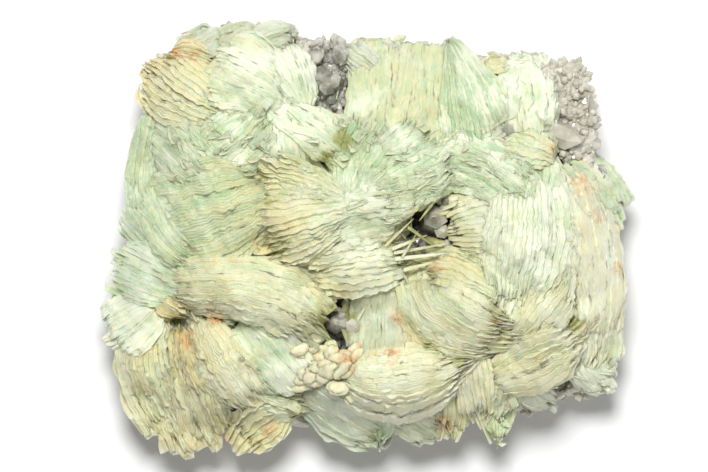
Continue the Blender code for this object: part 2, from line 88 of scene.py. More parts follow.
FANS = (
    # The upper left
    Fan("upper_left", (-27.2, 23.8), (-35.8, 28.8), (-42.6, 33.6), (2.2, 6.0, 5.0), 1.3, 0.46,
        (0.50, 0.35), (0.30, 0.85), (0.00, 0.26), 0.2, 1.6),
    Fan("tan_crown", (-30.8, 35.6), (-34.6, 37.2), (-38.6, 37.6), (1.2, 2.0, 1.6), 0.9, 0.45,
        (0.20, 0.10), (0.60, 0.80), (0.25, 0.45), 0.3, 0.4, 6.0),
    Fan("grey_knobs", (-33.0, 40.0), (-35.6, 40.2), (-37.6, 39.4), (1.2, 1.5, 1.0), 0.9, 0.45,
        (0.50, 0.50), (0.35, 0.45), (0.20, 0.25), -0.6, 0.3, 3.0, 0.3, 1),
    Fan("top_band_left", (-37.2, 37.2), (-33.6, 39.2), (-30, 41.2), (1.8, 3.0, 2.4), 0.9, 0.30,
        (0.35, 0.45), (0.10, 0.10), (0.05, 0.00), -0.4, 0.6, 7.0, 0.3, 1),
    Fan("top_band_middle", (-30.4, 37.4), (-26.4, 39.4), (-22.2, 41.0), (2.2, 3.2, 2.4), 0.9, 0.30,
        (0.30, 0.40), (0.05, 0.10), (0.00, 0.00), -0.4, 0.6, 7.0, 0.3, 1),
    Fan("top_band_right", (-23.4, 38.4), (-19.4, 40.4), (-15.4, 41.6), (2.2, 2.8, 1.8), 0.9, 0.30,
        (0.45, 0.60), (0.05, 0.05), (0.00, 0.00), -0.4, 0.6, 7.0, 0.3, 1),
    Fan("white_face", (-13.2, 25.6), (-21, 31.4), (-28.8, 35.4), (2.0, 6.0, 7.4), 0.85, 0.08,
        (0.85, 0.55), (0.00, 0.30), (0.00, 0.08), 0.6, 1.6, 9.0, 0.30),
    Fan("silver_streaks", (-11.6, 25.6), (-14.2, 31.4), (-17.0, 37.4), (1.5, 3.4, 4.0), 0.85, 0.20,
        (0.80, 1.00), (0.00, 0.00), (0.00, 0.00), 0.2, 0.8, 6.0, 0.50),
    Fan("clear_plate", (-21.8, 27.6), (-13.0, 23.2), (-5.8, 18.2), (1.5, 3.2, 4.2), 0.85, 0.14,
        (0.75, 0.60), (0.00, 0.20), (0.00, 0.00), 0.7, 1.8, 5.0, 0.36),
    Fan("upper_pale", (-17.6, 25.2), (-16.8, 19.8), (-16, 13.8), (3.2, 4.4, 4.2), 0.85, 0.14,
        (0.65, 0.60), (0.00, 0.15), (0.00, 0.00), 0.0, 0.8, 6.0, 0.34),
    Fan("left_broken", (-43.4, 24.4), (-37.8, 18.8), (-32, 12.8), (4.2, 5.4, 4.4), 0.85, 0.30,
        (0.45, 0.50), (0.10, 0.05), (0.00, 0.00), 0.0, 0.8, 3.4, 0.40),
    Fan("left_rim", (-42.8, 26), (-45.2, 18), (-46.0, 9.6), (1.6, 2.2, 2.4), 0.9, 0.36,
        (0.45, 0.40), (0.10, 0.10), (0.00, 0.00), -0.3, 0.4, 7.0, 0.3),
    Fan("middle_broken", (-34.6, 11.2), (-27.6, 17.4), (-20.8, 23.6), (4.8, 5.8, 4.6), 0.85, 0.28,
        (0.50, 0.55), (0.05, 0.05), (0.00, 0.00), 0.2, 0.8, 3.4, 0.42),
    Fan("ridged_left", (-42.4, 1.8), (-31.4, 5.2), (-20.8, 8.6), (8.2, 8.6, 5.4), 1.5, 0.60,
        (0.15, 0.15), (0.22, 0.45), (0.00, 0.04), 0.7, 0.8, 11.0, 0.16),
    Fan("left_edge", (-44.8, 17.4), (-43.2, 4.6), (-35.6, -4.4), (2.2, 3.6, 2.8), 0.9, 0.36,
        (0.45, 0.35), (0.05, 0.10), (0.00, 0.00), 0.2, 0.6, 9.0, 0.24),
    Fan("left_mid", (-39.6, -1.4), (-43.6, 2.0), (-46.6, 5.6), (2.5, 4.0, 4.0), 0.90, 0.13,
        (0.45, 0.50), (0.05, 0.05), (0.00, 0.00), -0.2, 1.4, 6.0, 0.30),
    Fan("left_low", (-36.4, -10), (-42.6, -7.2), (-48.6, -4.6), (3.5, 5.6, 5.8), 0.90, 0.13,
        (0.45, 0.55), (0.05, 0.05), (0.00, 0.00), 0.2, 1.8, 6.0, 0.30),
    Fan("chalky", (-42.2, -13.4), (-46.4, -16.8), (-50.4, -19.4), (2.6, 5.0, 5.0), 0.90, 0.15,
        (1.00, 1.05), (0.10, 0.05), (0.00, 0.00), 0.0, 1.6, 6.0, 0.28),
    Fan("mossy_step", (-42.8, -12), (-39.8, -13.2), (-37.2, -14.6), (1.6, 2.2, 1.8), 0.8, 0.40,
        (0.20, 0.20), (0.80, 0.90), (0.10, 0.25), -0.6, 0.4, 4.0),
    # The lower left
    Fan("big_comb", (-38.2, -10.2), (-23.6, -10.2), (-10.6, -16.4), (3.8, 5.2, 5.6), 1.15, 0.46,
        (0.60, 0.55), (0.50, 0.38), (0.10, 0.16), 1.7, 1.2, 12.0, 0.14),
    Fan("comb_end", (-20, -5.2), (-13.8, -7.2), (-7.8, -12.0), (1.4, 2.0, 1.8), 0.8, 0.40,
        (0.45, 0.40), (0.50, 0.60), (0.10, 0.22), 0.2, 0.6, 8.0),
    Fan("corner", (-45.4, -20.4), (-44.4, -28.6), (-40.8, -36.6), (4.0, 4.6, 4.0), 1.2, 0.62,
        (0.55, 0.60), (0.40, 0.50), (0.00, 0.05), 0.2, 1.0, 12.0, 0.2),
    Fan("groove_plates", (-37.6, -18.4), (-36.4, -25), (-33.6, -31.6), (1.8, 2.4, 2.4), 0.8, 0.50,
        (0.10, 0.15), (0.95, 0.80), (0.40, 0.10), 0.3, 0.4, 6.0),
    Fan("low_left", (-33.6, -17.2), (-28.8, -25.2), (-22.8, -33.2), (3.2, 4.4, 4.4), 1.3, 0.66,
        (0.70, 0.95), (0.60, 0.30), (0.35, 0.00), 0.8, 0.8, 14.0, 0.16),
    Fan("green_face", (-24.8, -16.6), (-19.0, -23.0), (-13.4, -29.4), (3.6, 4.8, 4.8), 0.90, 0.18,
        (0.45, 0.95), (0.05, 0.05), (0.00, 0.00), 0.8, 0.8, 8.0, 0.30),
    Fan("bottom_teeth", (-36.8, -27.4), (-35.4, -34.0), (-33.2, -40.4), (4.4, 5.6, 5.8), 1.3, 0.75,
        (0.75, 0.75), (0.45, 0.60), (0.00, 0.08), 0.4, 1.0, 16.0, 0.2),
    Fan("bottom_blades", (-16.0, -32.6), (-20.2, -36.2), (-24.6, -40.4), (2.4, 4.2, 4.0), 1.2, 0.50,
        (0.30, 0.25), (0.45, 0.65), (0.10, 0.40), 0.1, 0.8, 6.0, 0.2),
    Fan("low_plates", (-25, -32.6), (-19.6, -33.8), (-13.4, -35.2), (1.4, 2.2, 1.8), 1.0, 0.35,
        (0.60, 0.50), (0.25, 0.30), (0.00, 0.10), -0.2, 0.4, 5.0),
    # The star in the middle
    Fan("central", (-2.2, 6.4), (-10.6, 4.2), (-19.6, 2.4), (2.2, 6.2, 8.0), 1.25, 0.50,
        (0.75, 0.40), (0.08, 0.70), (0.00, 0.28), 0.8, 1.4, 9.0, 0.2),
    Fan("star_left", (-3.2, 7.6), (-10.8, 11), (-19.6, 14.0), (1.4, 2.8, 2.8), 0.9, 0.42,
        (0.60, 0.40), (0.15, 0.60), (0.00, 0.10), 0.9, 0.6, 6.0, 0.26),
    Fan("star_core", (-7.0, 2.2), (-1.2, 3.6), (5.0, 4.6), (4.2, 5.2, 4.8), 1.2, 0.26,
        (0.90, 0.80), (0.05, 0.15), (0.00, 0.00), 0.6, 1.0, 4.0, 0.36),
    Fan("star_up", (-3.6, 7.4), (-2.2, 13.8), (0.6, 20.2), (1.6, 3.8, 4.6), 0.95, 0.32,
        (0.55, 0.45), (0.00, 0.05), (0.00, 0.00), 0.6, 0.8, 4.0, 0.45),
    Fan("star_upper", (-3, 7.4), (5.6, 12.4), (14.6, 17.6), (2.0, 6.2, 7.0), 0.9, 0.30,
        (0.50, 0.55), (0.00, 0.05), (0.00, 0.00), 0.7, 1.0, 4.0, 0.48),
    Fan("star_lower", (-2, 5.8), (4.4, 7.4), (9.6, 8.8), (2.0, 3.6, 3.0), 0.9, 0.34,
        (0.60, 0.60), (0.05, 0.20), (0.00, 0.00), 0.7, 0.8, 5.0, 0.40),
    Fan("upper_mid", (7.4, 15.8), (20, 15.4), (31.2, 9.0), (3.8, 5.2, 4.6), 0.95, 0.30,
        (0.60, 0.65), (0.00, 0.05), (0.00, 0.00), 0.2, 0.8, 5.0, 0.48),
    Fan("scallop", (7.4, -5.2), (-1.6, -6.4), (-10.4, -7.0), (3.4, 4.4, 3.2), 1.3, 0.40,
        (0.95, 0.80), (0.10, 0.45), (0.00, 0.12), 0.5, 1.2, 8.0, 0.2),
    # The top
    Fan("cream_left", (2.8, 40.4), (2.0, 29.4), (0.4, 17.6), (3.8, 4.4, 4.2), 0.85, 0.08,
        (0.15, 0.40), (0.34, 0.30), (0.10, 0.08), -0.5, 1.0, 7.0, 0.24),
    Fan("cream_right", (11.6, 39.6), (10.8, 29.2), (9.0, 17.8), (3.6, 5.2, 5.6), 0.85, 0.09,
        (0.20, 0.40), (0.34, 0.40), (0.14, 0.16), -0.3, 1.0, 7.0, 0.24),
    Fan("green_spray", (17.0, 40.4), (20.2, 31.0), (23.0, 21.2), (1.0, 4.8, 7.0), 0.9, 0.34,
        (0.65, 0.35), (0.02, 0.10), (0.00, 0.00), -0.1, 1.2, 11.0, 0.55),
    Fan("top_scraps", (23.6, 34.2), (26, 35), (28.6, 35.4), (1.4, 1.6, 1.2), 0.8, 0.40,
        (0.30, 0.30), (0.60, 0.60), (0.25, 0.40), -0.4, 0.4, 5.0),
    Fan("white_block", (32.0, 37.4), (32.2, 29.4), (32.4, 21.6), (4.0, 4.6, 4.2), 0.85, 0.07,
        (0.80, 1.00), (0.04, 0.02), (0.00, 0.00), 0.0, 0.8, 5.0, 0.22),
    Fan("white_wisps", (20.6, 18.8), (24, 21), (27.6, 23.4), (1.4, 2.2, 1.8), 0.9, 0.36,
        (0.95, 1.00), (0.00, 0.00), (0.00, 0.00), 0.0, 0.4, 8.0, 0.2, 1),
    Fan("top_grey", (2.6, 33), (-0.4, 36), (-3.8, 38.4), (1.8, 2.4, 2.0), 0.9, 0.36,
        (0.70, 0.80), (0.10, 0.05), (0.05, 0.05), -0.6, 0.4, 6.0, 0.3, 1),
    # The right
    Fan("pink_ribs", (37.8, 15.6), (33.4, 17.6), (28.6, 18.8), (1.8, 3.2, 2.8), 1.3, 0.46,
        (0.60, 0.55), (0.30, 0.35), (0.25, 0.22), 0.6, 0.8, 8.0, 0.14),
    Fan("shoulder", (42, 16), (46.6, 10.8), (50.6, 5.0), (3.0, 4.0, 3.6), 1.0, 0.26,
        (0.60, 0.50), (0.15, 0.05), (0.08, 0.00), 0.0, 0.2, 6.0, 0.3),
    Fan("far_right", (41.4, 13.4), (46.2, 0), (47.4, -19.6), (2.2, 4.2, 3.6), 1.1, -0.18,
        (1.20, 1.30), (0.40, 0.24), (0.24, 0.04), 1.2, 0.6, 10.0, 0.14),
    Fan("low_stripes", (45.0, -9.6), (47.2, -17.6), (46.8, -25.4), (3.0, 4.0, 3.4), 0.9, -0.32,
        (0.90, 0.85), (0.35, 0.28), (0.00, 0.00), -0.2, 0.6, 8.0, 0.18),
    Fan("right_blades", (31.6, 13.2), (32, 0.8), (29.8, -11.8), (5.0, 7.8, 5.2), 1.15, 0.44,
        (1.05, 0.95), (0.00, 0.08), (0.00, 0.00), 0.9, 1.0, 12.0, 0.40),
    Fan("right_long", (38.2, 13.8), (41.2, 1), (41.4, -12.8), (2.2, 3.8, 3.2), 0.95, 0.42,
        (0.90, 0.85), (0.15, 0.30), (0.05, 0.00), 0.5, 0.6, 10.0, 0.26),
    Fan("pocket_right_face", (27.2, 2.4), (22.4, 2), (18.0, 1.4), (5.0, 5.6, 4.4), 1.0, 0.28,
        (0.85, 0.70), (0.15, 0.50), (0.00, 0.18), 0.4, 0.8, 7.0, 0.28),
    # The lower middle
    Fan("pocket_low_face", (3.4, -9.8), (3.8, -16), (3.4, -22.4), (5.2, 5.8, 5.4), 0.95, 0.16,
        (0.55, 0.60), (0.10, 0.20), (0.00, 0.08), -0.4, 0.6, 6.0, 0.3, 1),
    Fan("inner_arc", (10.4, -8.2), (15.8, -15.4), (26.6, -19.6), (3.6, 5.4, 3.6), 1.25, 0.50,
        (0.65, 0.60), (0.30, 0.45), (0.05, 0.15), 1.4, 1.0, 11.0, 0.16),
    Fan("outer_arc", (7.4, -11.4), (12.0, -18.8), (22.6, -22.6), (2.0, 2.8, 2.0), 1.3, 0.52,
        (0.60, 0.55), (0.70, 0.70), (0.15, 0.22), 0.6, 0.6, 12.0, 0.14),
    Fan("arc_top", (28.4, -12.4), (21, -8.0), (13.2, -5.6), (2.2, 3.8, 3.4), 1.15, 0.42,
        (0.50, 0.40), (0.20, 0.60), (0.00, 0.12), 0.3, 0.8, 8.0, 0.18),
    Fan("upper_leaf", (28.8, -21.2), (33.8, -15.6), (39.6, -8.8), (3.0, 4.8, 4.0), 1.3, 0.44,
        (0.75, 0.70), (0.40, 0.35), (0.00, 0.00), 0.5, 0.8, 10.0, 0.18),
    Fan("small_cross", (40.4, -19.6), (43.6, -17.4), (47, -14.8), (1.2, 1.9, 1.5), 0.9, 0.45,
        (0.35, 0.30), (0.60, 0.60), (0.00, 0.00), 0.6, 0.4, 7.0),
    Fan("lower_leaf", (25.0, -29.0), (33.4, -25.2), (42.4, -20.8), (2.6, 4.8, 3.2), 1.3, 0.46,
        (0.75, 0.65), (0.50, 0.42), (0.12, 0.00), 1.2, 0.8, 10.0, 0.18),
    Fan("right_chunk", (42.6, -22.6), (45.8, -26.2), (48.8, -29.0), (2.4, 3.8, 3.0), 1.0, 0.28,
        (0.90, 0.95), (0.05, 0.00), (0.00, 0.00), -0.4, 0.6, 5.0, 0.3),
    Fan("white_low", (30.4, -28.8), (34, -31.2), (37.4, -33.4), (2.0, 2.6, 2.2), 1.0, 0.30,
        (0.90, 0.95), (0.05, 0.00), (0.00, 0.00), -0.6, 0.6, 5.0, 0.3, 1),
    Fan("bottom_dome", (-4.6, -28.2), (6.4, -29.6), (18.8, -26.4), (3.6, 6.4, 3.2), 1.3, 0.50,
        (0.95, 0.95), (0.30, 0.35), (0.15, 0.10), 1.7, 1.0, 11.0, 0.16),
    Fan("low_clear", (-11.6, -30.4), (-4.8, -34.8), (2.0, -39.0), (3.6, 4.8, 3.8), 0.95, 0.18,
        (0.45, 0.50), (0.05, 0.10), (0.00, 0.00), 0.0, 1.0, 7.0, 0.3, 1),
    Fan("bottom_tip", (1.2, -33.6), (2.4, -37.4), (2.8, -40.8), (3.4, 3.4, 1.4), 1.0, 0.30,
        (0.50, 0.50), (0.15, 0.20), (0.00, 0.05), 0.1, 0.6, 7.0, 0.3),
    Fan("low_green", (3.4, -31.8), (9.2, -35.6), (13.6, -39.0), (3.6, 4.2, 3.6), 0.95, 0.22,
        (0.35, 0.45), (0.15, 0.25), (0.00, 0.08), 0.0, 0.8, 6.0, 0.3, 1),
    Fan("rusty_strings", (16, -29.4), (17, -33.6), (16.6, -38.4), (2.2, 3.0, 3.0), 0.85, 0.45,
        (0.35, 0.30), (0.55, 0.55), (0.20, 0.32), 0.2, 0.4, 6.0),
    Fan("upright", (21.8, -21.2), (21.6, -28.6), (23.2, -36.6), (2.4, 3.2, 2.6), 0.9, -0.42,
        (0.85, 0.80), (0.40, 0.40), (0.03, 0.12), 0.6, 0.4, 10.0, 0.18),
    Fan("pink_corner", (27.4, -28.0), (26.6, -32), (25.2, -35.8), (2.6, 3.0, 2.6), 0.95, 0.38,
        (0.60, 0.60), (0.35, 0.30), (0.20, 0.12), 0.3, 0.4, 5.0),
    Fan("bottom_spike", (26.8, -32.4), (26.8, -36.6), (26.8, -40.4), (3.4, 2.6, 1.2), 0.9, 0.32,
        (0.50, 0.50), (0.20, 0.15), (0.03, 0.00), 0.0, 0.4, 7.0, 0.3),
    Fan("green_under", (33, 15), (33, 11), (32.2, 7), (4.6, 5.0, 4.4), 1.0, 0.34,
        (0.40, 0.40), (0.05, 0.05), (0.00, 0.00), -0.2, 0.0, 6.0, 0.36),
)

# One plate of a fan, across: place in its share of the width, height in its relief, and how near to the
# rim, which sets the rim's pale colour and painted highlight and the groove's painted shade
PLATE = (
    (0.03, 0.00, 0.00), (0.24, 0.26, 0.55), (0.40, 0.14, 0.25), (0.62, 0.50, 0.70), (0.74, 0.42, 0.40),
    (0.92, 1.00, 1.00),
)
PLAIN_PLATE = (PLATE[0], PLATE[2], PLATE[-1])

# Round knobs of prehnite: middle, radius and how rusty
Knob = namedtuple("Knob", "middle radius rust")

KNOBS = (
    Knob((-13.2, -22.2), 1.4, 0.45),
    Knob((-10.6, -23.2), 1.5, 0.55),
    Knob((-12.8, -25.2), 1.7, 0.40),
    Knob((-9.8, -26.4), 1.9, 0.35),
    Knob((-12.6, -28.2), 1.4, 0.40),
    Knob((-7.6, -23.8), 1.7, 0.60),
    Knob((-6.6, -26.8), 1.8, 0.45),
    Knob((-8.2, -29.2), 1.5, 0.35),
    Knob((-4.8, -23.2), 1.6, 0.55),
    Knob((-4.4, -25.4), 1.6, 0.60),
    Knob((-4.6, -29.4), 1.6, 0.30),
    Knob((-2.2, -22.8), 1.3, 0.50),
    Knob((-10.6, -20.6), 1.1, 0.35),
    Knob((-8.2, -21.4), 1.2, 0.50),
)
KNOB_HEIGHT = 0.4
KNOB_LUMPS = 2

# Loose laths in the pockets and crevices: both ends, how far each lies above the crust, how wide,
# and how chalky and straw-coloured
Lath = namedtuple("Lath", "start end above wide frost straw")

LATHS = (
    Lath((8.4, 2.2), (13.0, -1.2), (-0.6, 0.2), 0.9, 0.7, 0.5),
    Lath((3.8, -1.6), (9.4, 3.8), (0.2, 0.4), 0.8, 0.5, 0.8),
    Lath((5.2, -2.2), (12.2, 0.6), (0.3, 0.0), 1.0, 0.8, 0.4),
    Lath((5.6, -3.0), (16.0, -1.2), (0.3, 0.4), 0.9, 0.6, 0.3),
    Lath((5.8, -4.2), (16.8, -3.0), (0.3, 0.6), 1.1, 0.8, 0.3),
    Lath((7.6, -6.4), (15.4, -4.4), (0.0, 0.6), 1.0, 0.7, 0.5),
    Lath((6.6, -5.0), (10.4, 1.4), (0.1, 0.5), 0.7, 0.9, 0.3),
    Lath((13.8, 7.6), (10.6, 3.4), (0.0, -1.6), 0.8, 0.4, 0.7),
    Lath((16.6, 5.2), (13.2, 4.2), (0.2, -1.0), 0.9, 0.5, 0.8),
    Lath((-8.8, 28.0), (-9.2, 34.2), (-3.6, -4.2), 0.4, 0.4, 0.0),
    Lath((-7.2, 27.6), (-7.4, 33.8), (-3.6, -4.2), 0.4, 0.5, 0.0),
    Lath((-6.0, 27.8), (-4.8, 32.6), (-3.6, -4.0), 0.4, 0.3, 0.1),
    Lath((-4.2, 18.2), (-3.8, 25.0), (-0.6, -1.6), 1.0, 0.4, 0.8),
    Lath((-6.6, 19.2), (-4.6, 25.6), (-1.2, -1.8), 0.9, 0.5, 0.7),
    Lath((-8.6, 16.2), (-3.6, 19.0), (-0.4, -1.2), 1.2, 0.6, 0.7),
    Lath((-8.0, 17.6), (-4.4, 21.0), (-0.8, -1.4), 0.9, 0.4, 0.9),
    Lath((17.6, 20.0), (26.4, 25.2), (0.4, -0.6), 0.7, 1.1, 0.0),
    Lath((19.6, 18.8), (27.0, 21.6), (0.6, 0.0), 0.7, 1.1, 0.0),
    Lath((18.4, 21.6), (23.6, 26.4), (0.2, -0.8), 0.6, 1.1, 0.0),
    Lath((-5.2, -10.8), (-2.6, -14.0), (-1.4, -2.4), 0.9, 0.7, 0.4),
    Lath((-3.0, -18.4), (0.4, -13.0), (-1.6, -0.8), 1.0, 0.9, 0.2),
    Lath((-2.2, -20.2), (1.6, -15.8), (-1.2, -0.4), 1.0, 0.9, 0.3),
)
LATH_THICK = 0.35

# How a fan's sheet is made
STATION = 0.55
SHEET_THICK = 2.6
SHEET_UNDER = 0.88
WIDER = 1.25
TOOTH = 0.30
TOOTH_RELIEF = 0.35
PROUD = 0.85
LEVEL_STEP = 0.12
BUNDLE = 0.22
RAGGED_END = 0.7
ROUND_END = 0.10
TIP_NOTCH = 1.0
ROOT_DIP = 0.9
SIDE_FALL = 0.25

# From this relief on, rims have their full pale colour and painted highlight and grooves their full
# painted shade; a flat face has the even level, with neither
FULL_CONTRAST = 0.35
FLAT_FACE = 0.2
EVEN_RIM = 0.68

# How far a fan's surface lies above the crust at its root, middle and tip, and how far its sides drop
LIE = (-1.1, 0.2, 0.9)
SIDE_DROP = 0.25

# The lower plates that grow out from under each fan: how much wider and longer they spread, how
# far down they lie, and how coarse their sheet is
SKIRT_WIDER = 1.15
SKIRT_LONGER = 1.10
SKIRT_DOWN = 1.1
SKIRT_STATION = 0.9

# The crust's own height, from the solid part: over what distance it is evened, how high its outline
# lies, and the spacing of the heights kept
EVEN_RANGE = 2.6
OUTLINE_HEIGHT = 13.5
EVEN_STEP = 1.0

# Low swells in the whole crust: half their height and their spacing
SWELL = 0.22
SWELL_SPACING = 9.0

# The scraps that fill the gaps between the fans
SCRAP_TRIES = 12000
SCRAP_ALONG = 5
SCRAP_REACH = 1.6
SCRAP_SHARE = 0.15
SCRAP_UNDER = 5.5

# Hollows between the fans, sunk and darkened by painted shade, olive and in the deepest near black:
# middle, radius and how far down
Hollow = namedtuple("Hollow", "middle radius deep")

HOLLOWS = (
    Hollow((-14.2, -36.0), 1.6, 3.0),
    Hollow((-4.6, 19.6), 2.4, 5.0),
    Hollow((-8.0, 16.0), 1.8, 3.0),
    Hollow((-19.4, 7.2), 1.2, 2.0),
    Hollow((-38.0, -17.0), 2.4, 4.0),
    Hollow((27.6, -18.6), 1.4, 4.0),
    Hollow((18.6, -24.8), 1.5, 3.0),
    Hollow((12.2, -21.4), 1.0, 2.0),
    Hollow((41.6, -17.2), 1.8, 2.5),
    Hollow((12.0, 2.0), 5.0, 9.0),
    Hollow((-5.4, -16.4), 5.2, 8.0),
)

# Iron stains: middle, radius and how strong
Stain = namedtuple("Stain", "middle radius strength")

STAINS = (
    Stain((-31.0, -4.8), 2.0, 0.42),
    Stain((-26.6, -5.0), 1.8, 0.42),
    Stain((-29.2, -10.4), 2.6, 0.34),
    Stain((-30.2, -14.8), 2.4, 0.35),
    Stain((-38.8, 37.0), 1.6, 0.50),
    Stain((-34.6, 36.6), 1.4, 0.50),
    Stain((5.8, -16.4), 2.4, 0.45),
    Stain((-2.8, -24.6), 2.6, 0.25),
    Stain((1.4, -23.8), 2.2, 0.34),
    Stain((5.0, -23.0), 2.4, 0.40),
    Stain((15.2, -37.4), 2.2, 0.45),
    Stain((-19.4, -39.0), 2.0, 0.40),
    Stain((5.6, 28.6), 2.2, 0.30),
    Stain((12.8, 26.4), 3.0, 0.22),
    Stain((1.8, 10.6), 1.6, 0.35),
    Stain((-35.6, -20.4), 1.8, 0.40),
    Stain((50.8, -6.4), 2.0, 0.40),
    Stain((36.8, 18.0), 2.4, 0.30),
    Stain((26.4, -16.6), 1.8, 0.50),
    Stain((43.4, 10.8), 2.6, 0.34),
    Stain((46.4, 4.0), 2.6, 0.34),
    Stain((14.0, -6.2), 2.2, 0.40),
)

# The core under the plates, and the rock
CORE_VOXEL = 1.0
CORE_SINK = 1.4
CORE_UNDER = 2.2
ROCKY_BELOW = 21.0
STEEP = 0.6
ROCK_VOXEL = 0.9

# The camera, the floor and the light
PHOTO_WIDTH_MM = 141.6
PHOTO_CENTRE = (-2.4, 0.4)
SHARP_HEIGHT = 25.0
CAMERA_HEIGHT = 900.0
SENSOR = 36.0
FLOOR_SIZE = 3000.0

# A large soft lamp high over the top edge, and a low one that fills the shade of the bottom edge:
# name, place and size in metres, and power in watts
LAMPS = (
    ("soft_lamp", (-0.03, 0.34, 0.84), 0.30, 8.4),
    ("fill_lamp", (0.32, -0.50, 0.28), 0.50, 0.8),
)


def linear(code):
    """An sRGB hex colour as the linear RGBA that a shader takes."""
    parts = [int(code[at:at + 2], 16) / 255 for at in (1, 3, 5)]
    return (*(part / 12.92 if part <= 0.04045 else ((part + 0.055) / 1.055) ** 2.4 for part in parts), 1.0)


def add_node(tree, kind, values=None, links=None, **settings):
    """Adds a node to a material with its settings, its fixed values and what feeds its sockets."""
    made = tree.nodes.new(kind)
    for name, value in settings.items():
        setattr(made, name, value)
    for socket, value in (values or {}).items():
        made.inputs[socket].default_value = value
    for socket, source in (links or {}).items():
        tree.links.new(source, made.inputs[socket])
    return made


def new_material(name):
    """A material with only its shader, and the node tree to build on."""
    made = bpy.data.materials.new(name)
    made.use_nodes = True
    return made, made.node_tree, made.node_tree.nodes["Principled BSDF"]


def blended(tree, share, first, second):
    """A mix of two colours, each a hex code or another node's output."""
    sides = {6: first, 7: second}
    values = {socket: linear(side) for socket, side in sides.items() if isinstance(side, str)}
    links = {socket: side for socket, side in sides.items() if not isinstance(side, str)}
    return add_node(
        tree, "ShaderNodeMix", values, {0: share, **links}, data_type="RGBA", clamp_factor=True
    ).outputs[2]


def prehnite(name, glassy):
    """Prehnite: waxy to glassy plates, so the light goes a little way in. Rims are pale in their own
    colour and with a painted highlight.

    Chalky bruises, straw-coloured tips and iron rust follow the plates' own attributes, as does the
    painted shade in the grooves, under the plates and in the hollows, and fibres run from the root of
    each plate to its rim.
    """
    made, tree, shader = new_material(name)
    place = add_node(tree, "ShaderNodeTexCoord").outputs["Object"]
    feature = {
        name: add_node(tree, "ShaderNodeAttribute", attribute_name=name).outputs["Fac"]
        for name in ("rim_and_painted_light", "frost", "straw", "rust", "darkening")
    }
    grain = add_node(tree, "ShaderNodeAttribute", attribute_name="grain").outputs["Vector"]
    patches = add_node(
        tree, "ShaderNodeTexNoise", {"Scale": 1 / (6.0 * MM), "Detail": 3.0}, {"Vector": place}
    ).outputs["Fac"]
    mottle = add_node(
        tree, "ShaderNodeTexNoise", {"Scale": 1 / (1.3 * MM), "Detail": 4.0, "Roughness": 0.7},
        {"Vector": place},
    ).outputs["Fac"]
    stretched = add_node(
        tree, "ShaderNodeMapping", {"Scale": (1 / 6.0, 1 / 0.8, 1.0)}, {"Vector": grain}
    ).outputs["Vector"]
    fibres = add_node(
        tree, "ShaderNodeTexNoise", {"Scale": 1.0, "Detail": 4.0, "Roughness": 0.6}, {"Vector": stretched}
    ).outputs["Fac"]

    sugar = add_node(
        tree, "ShaderNodeTexNoise", {"Scale": 1.0, "Detail": 2.0, "Roughness": 0.7},
        {"Vector": add_node(
            tree, "ShaderNodeMapping", {"Scale": (1 / 1.1, 1 / 0.28, 3.0)}, {"Vector": grain}
        ).outputs["Vector"]},
    ).outputs["Fac"]

    def varied(base, *parts):
        """A feature pushed up and down by patterns, each with its weight."""
        total = base
        for pattern, weight in parts:
            swing = add_node(
                tree, "ShaderNodeMath", {1: weight, 2: -weight / 2}, {0: pattern}, operation="MULTIPLY_ADD"
            ).outputs[0]
            total = add_node(tree, "ShaderNodeMath", links={0: total, 1: swing}, operation="ADD").outputs[0]
        return total

    chalky = varied(feature["frost"], (patches, 2.0), (fibres, 1.2), (mottle, 1.2), (sugar, 1.1))
    strawy = varied(feature["straw"], (patches, -0.8), (fibres, 0.6), (mottle, 0.9), (sugar, 0.7))
    rusty = varied(feature["rust"], (mottle, 1.2), (patches, 0.8), (fibres, 0.8))
    rust_share = add_node(
        tree, "ShaderNodeMapRange", {"From Min": 0.38, "From Max": 0.95}, {"Value": rusty}
    ).outputs[0]
    plate = blended(tree, chalky, GLASS if glassy else GREEN, CHALK)
    plate = blended(tree, strawy, plate, STRAW)
    plate = blended(tree, rust_share, plate, blended(tree, rust_share, TAN, ORANGE))
    # The rims: their own pale colour, and a painted highlight
    edge = add_node(
        tree, "ShaderNodeMapRange", {"From Min": 0.75, "From Max": 1.0, "To Max": 0.60},
        {"Value": feature["rim_and_painted_light"]},
    ).outputs[0]
    plate = blended(tree, edge, plate, RIM_AND_HIGHLIGHT)
    # The grooves, the undersides and the lower parts: painted shade, olive
    groove_shade = add_node(
        tree, "ShaderNodeMapRange", {"From Min": 0.62, "From Max": 0.30, "To Max": 0.26},
        {"Value": feature["rim_and_painted_light"]},
    ).outputs[0]
    plate = blended(tree, groove_shade, plate, OLIVE_SHADE)
    # The hollows: painted shade, olive and in the deepest near black
    hollow_shade = varied(feature["darkening"], (mottle, 1.4), (fibres, 1.2))
    mark = add_node(
        tree, "ShaderNodeMapRange", {"From Min": 0.30, "From Max": 0.80, "To Max": 0.75}, {"Value": hollow_shade}
    ).outputs[0]
    depth = add_node(
        tree, "ShaderNodeMapRange", {"From Min": 0.85, "From Max": 1.40, "To Max": 0.60}, {"Value": hollow_shade}
    ).outputs[0]
    plate = blended(tree, mark, plate, OLIVE_SHADE)
    tree.links.new(blended(tree, depth, plate, DEEP_SHADE), shader.inputs["Base Color"])

    gloss = add_node(
        tree, "ShaderNodeMapRange", {"To Min": 0.3, "To Max": 0.65}, {"Value": mottle}
    ).outputs[0]
    tree.links.new(gloss, shader.inputs["Roughness"])
    relief = add_node(
        tree, "ShaderNodeBump", {"Strength": 0.6, "Distance": 0.25 * MM}, {"Height": sugar}
    ).outputs["Normal"]
    tree.links.new(relief, shader.inputs["Normal"])
    shader.inputs["IOR"].default_value = 1.63
    shader.inputs["Specular IOR Level"].default_value = 0.15
    shader.inputs["Subsurface Weight"].default_value = 0.8
    shader.inputs["Subsurface Radius"].default_value = (0.85, 0.80, 1.20)
    shader.inputs["Subsurface Scale"].default_value = 1.3 * MM
    if glassy:
        shader.inputs["Transmission Weight"].default_value = 0.18
    return made


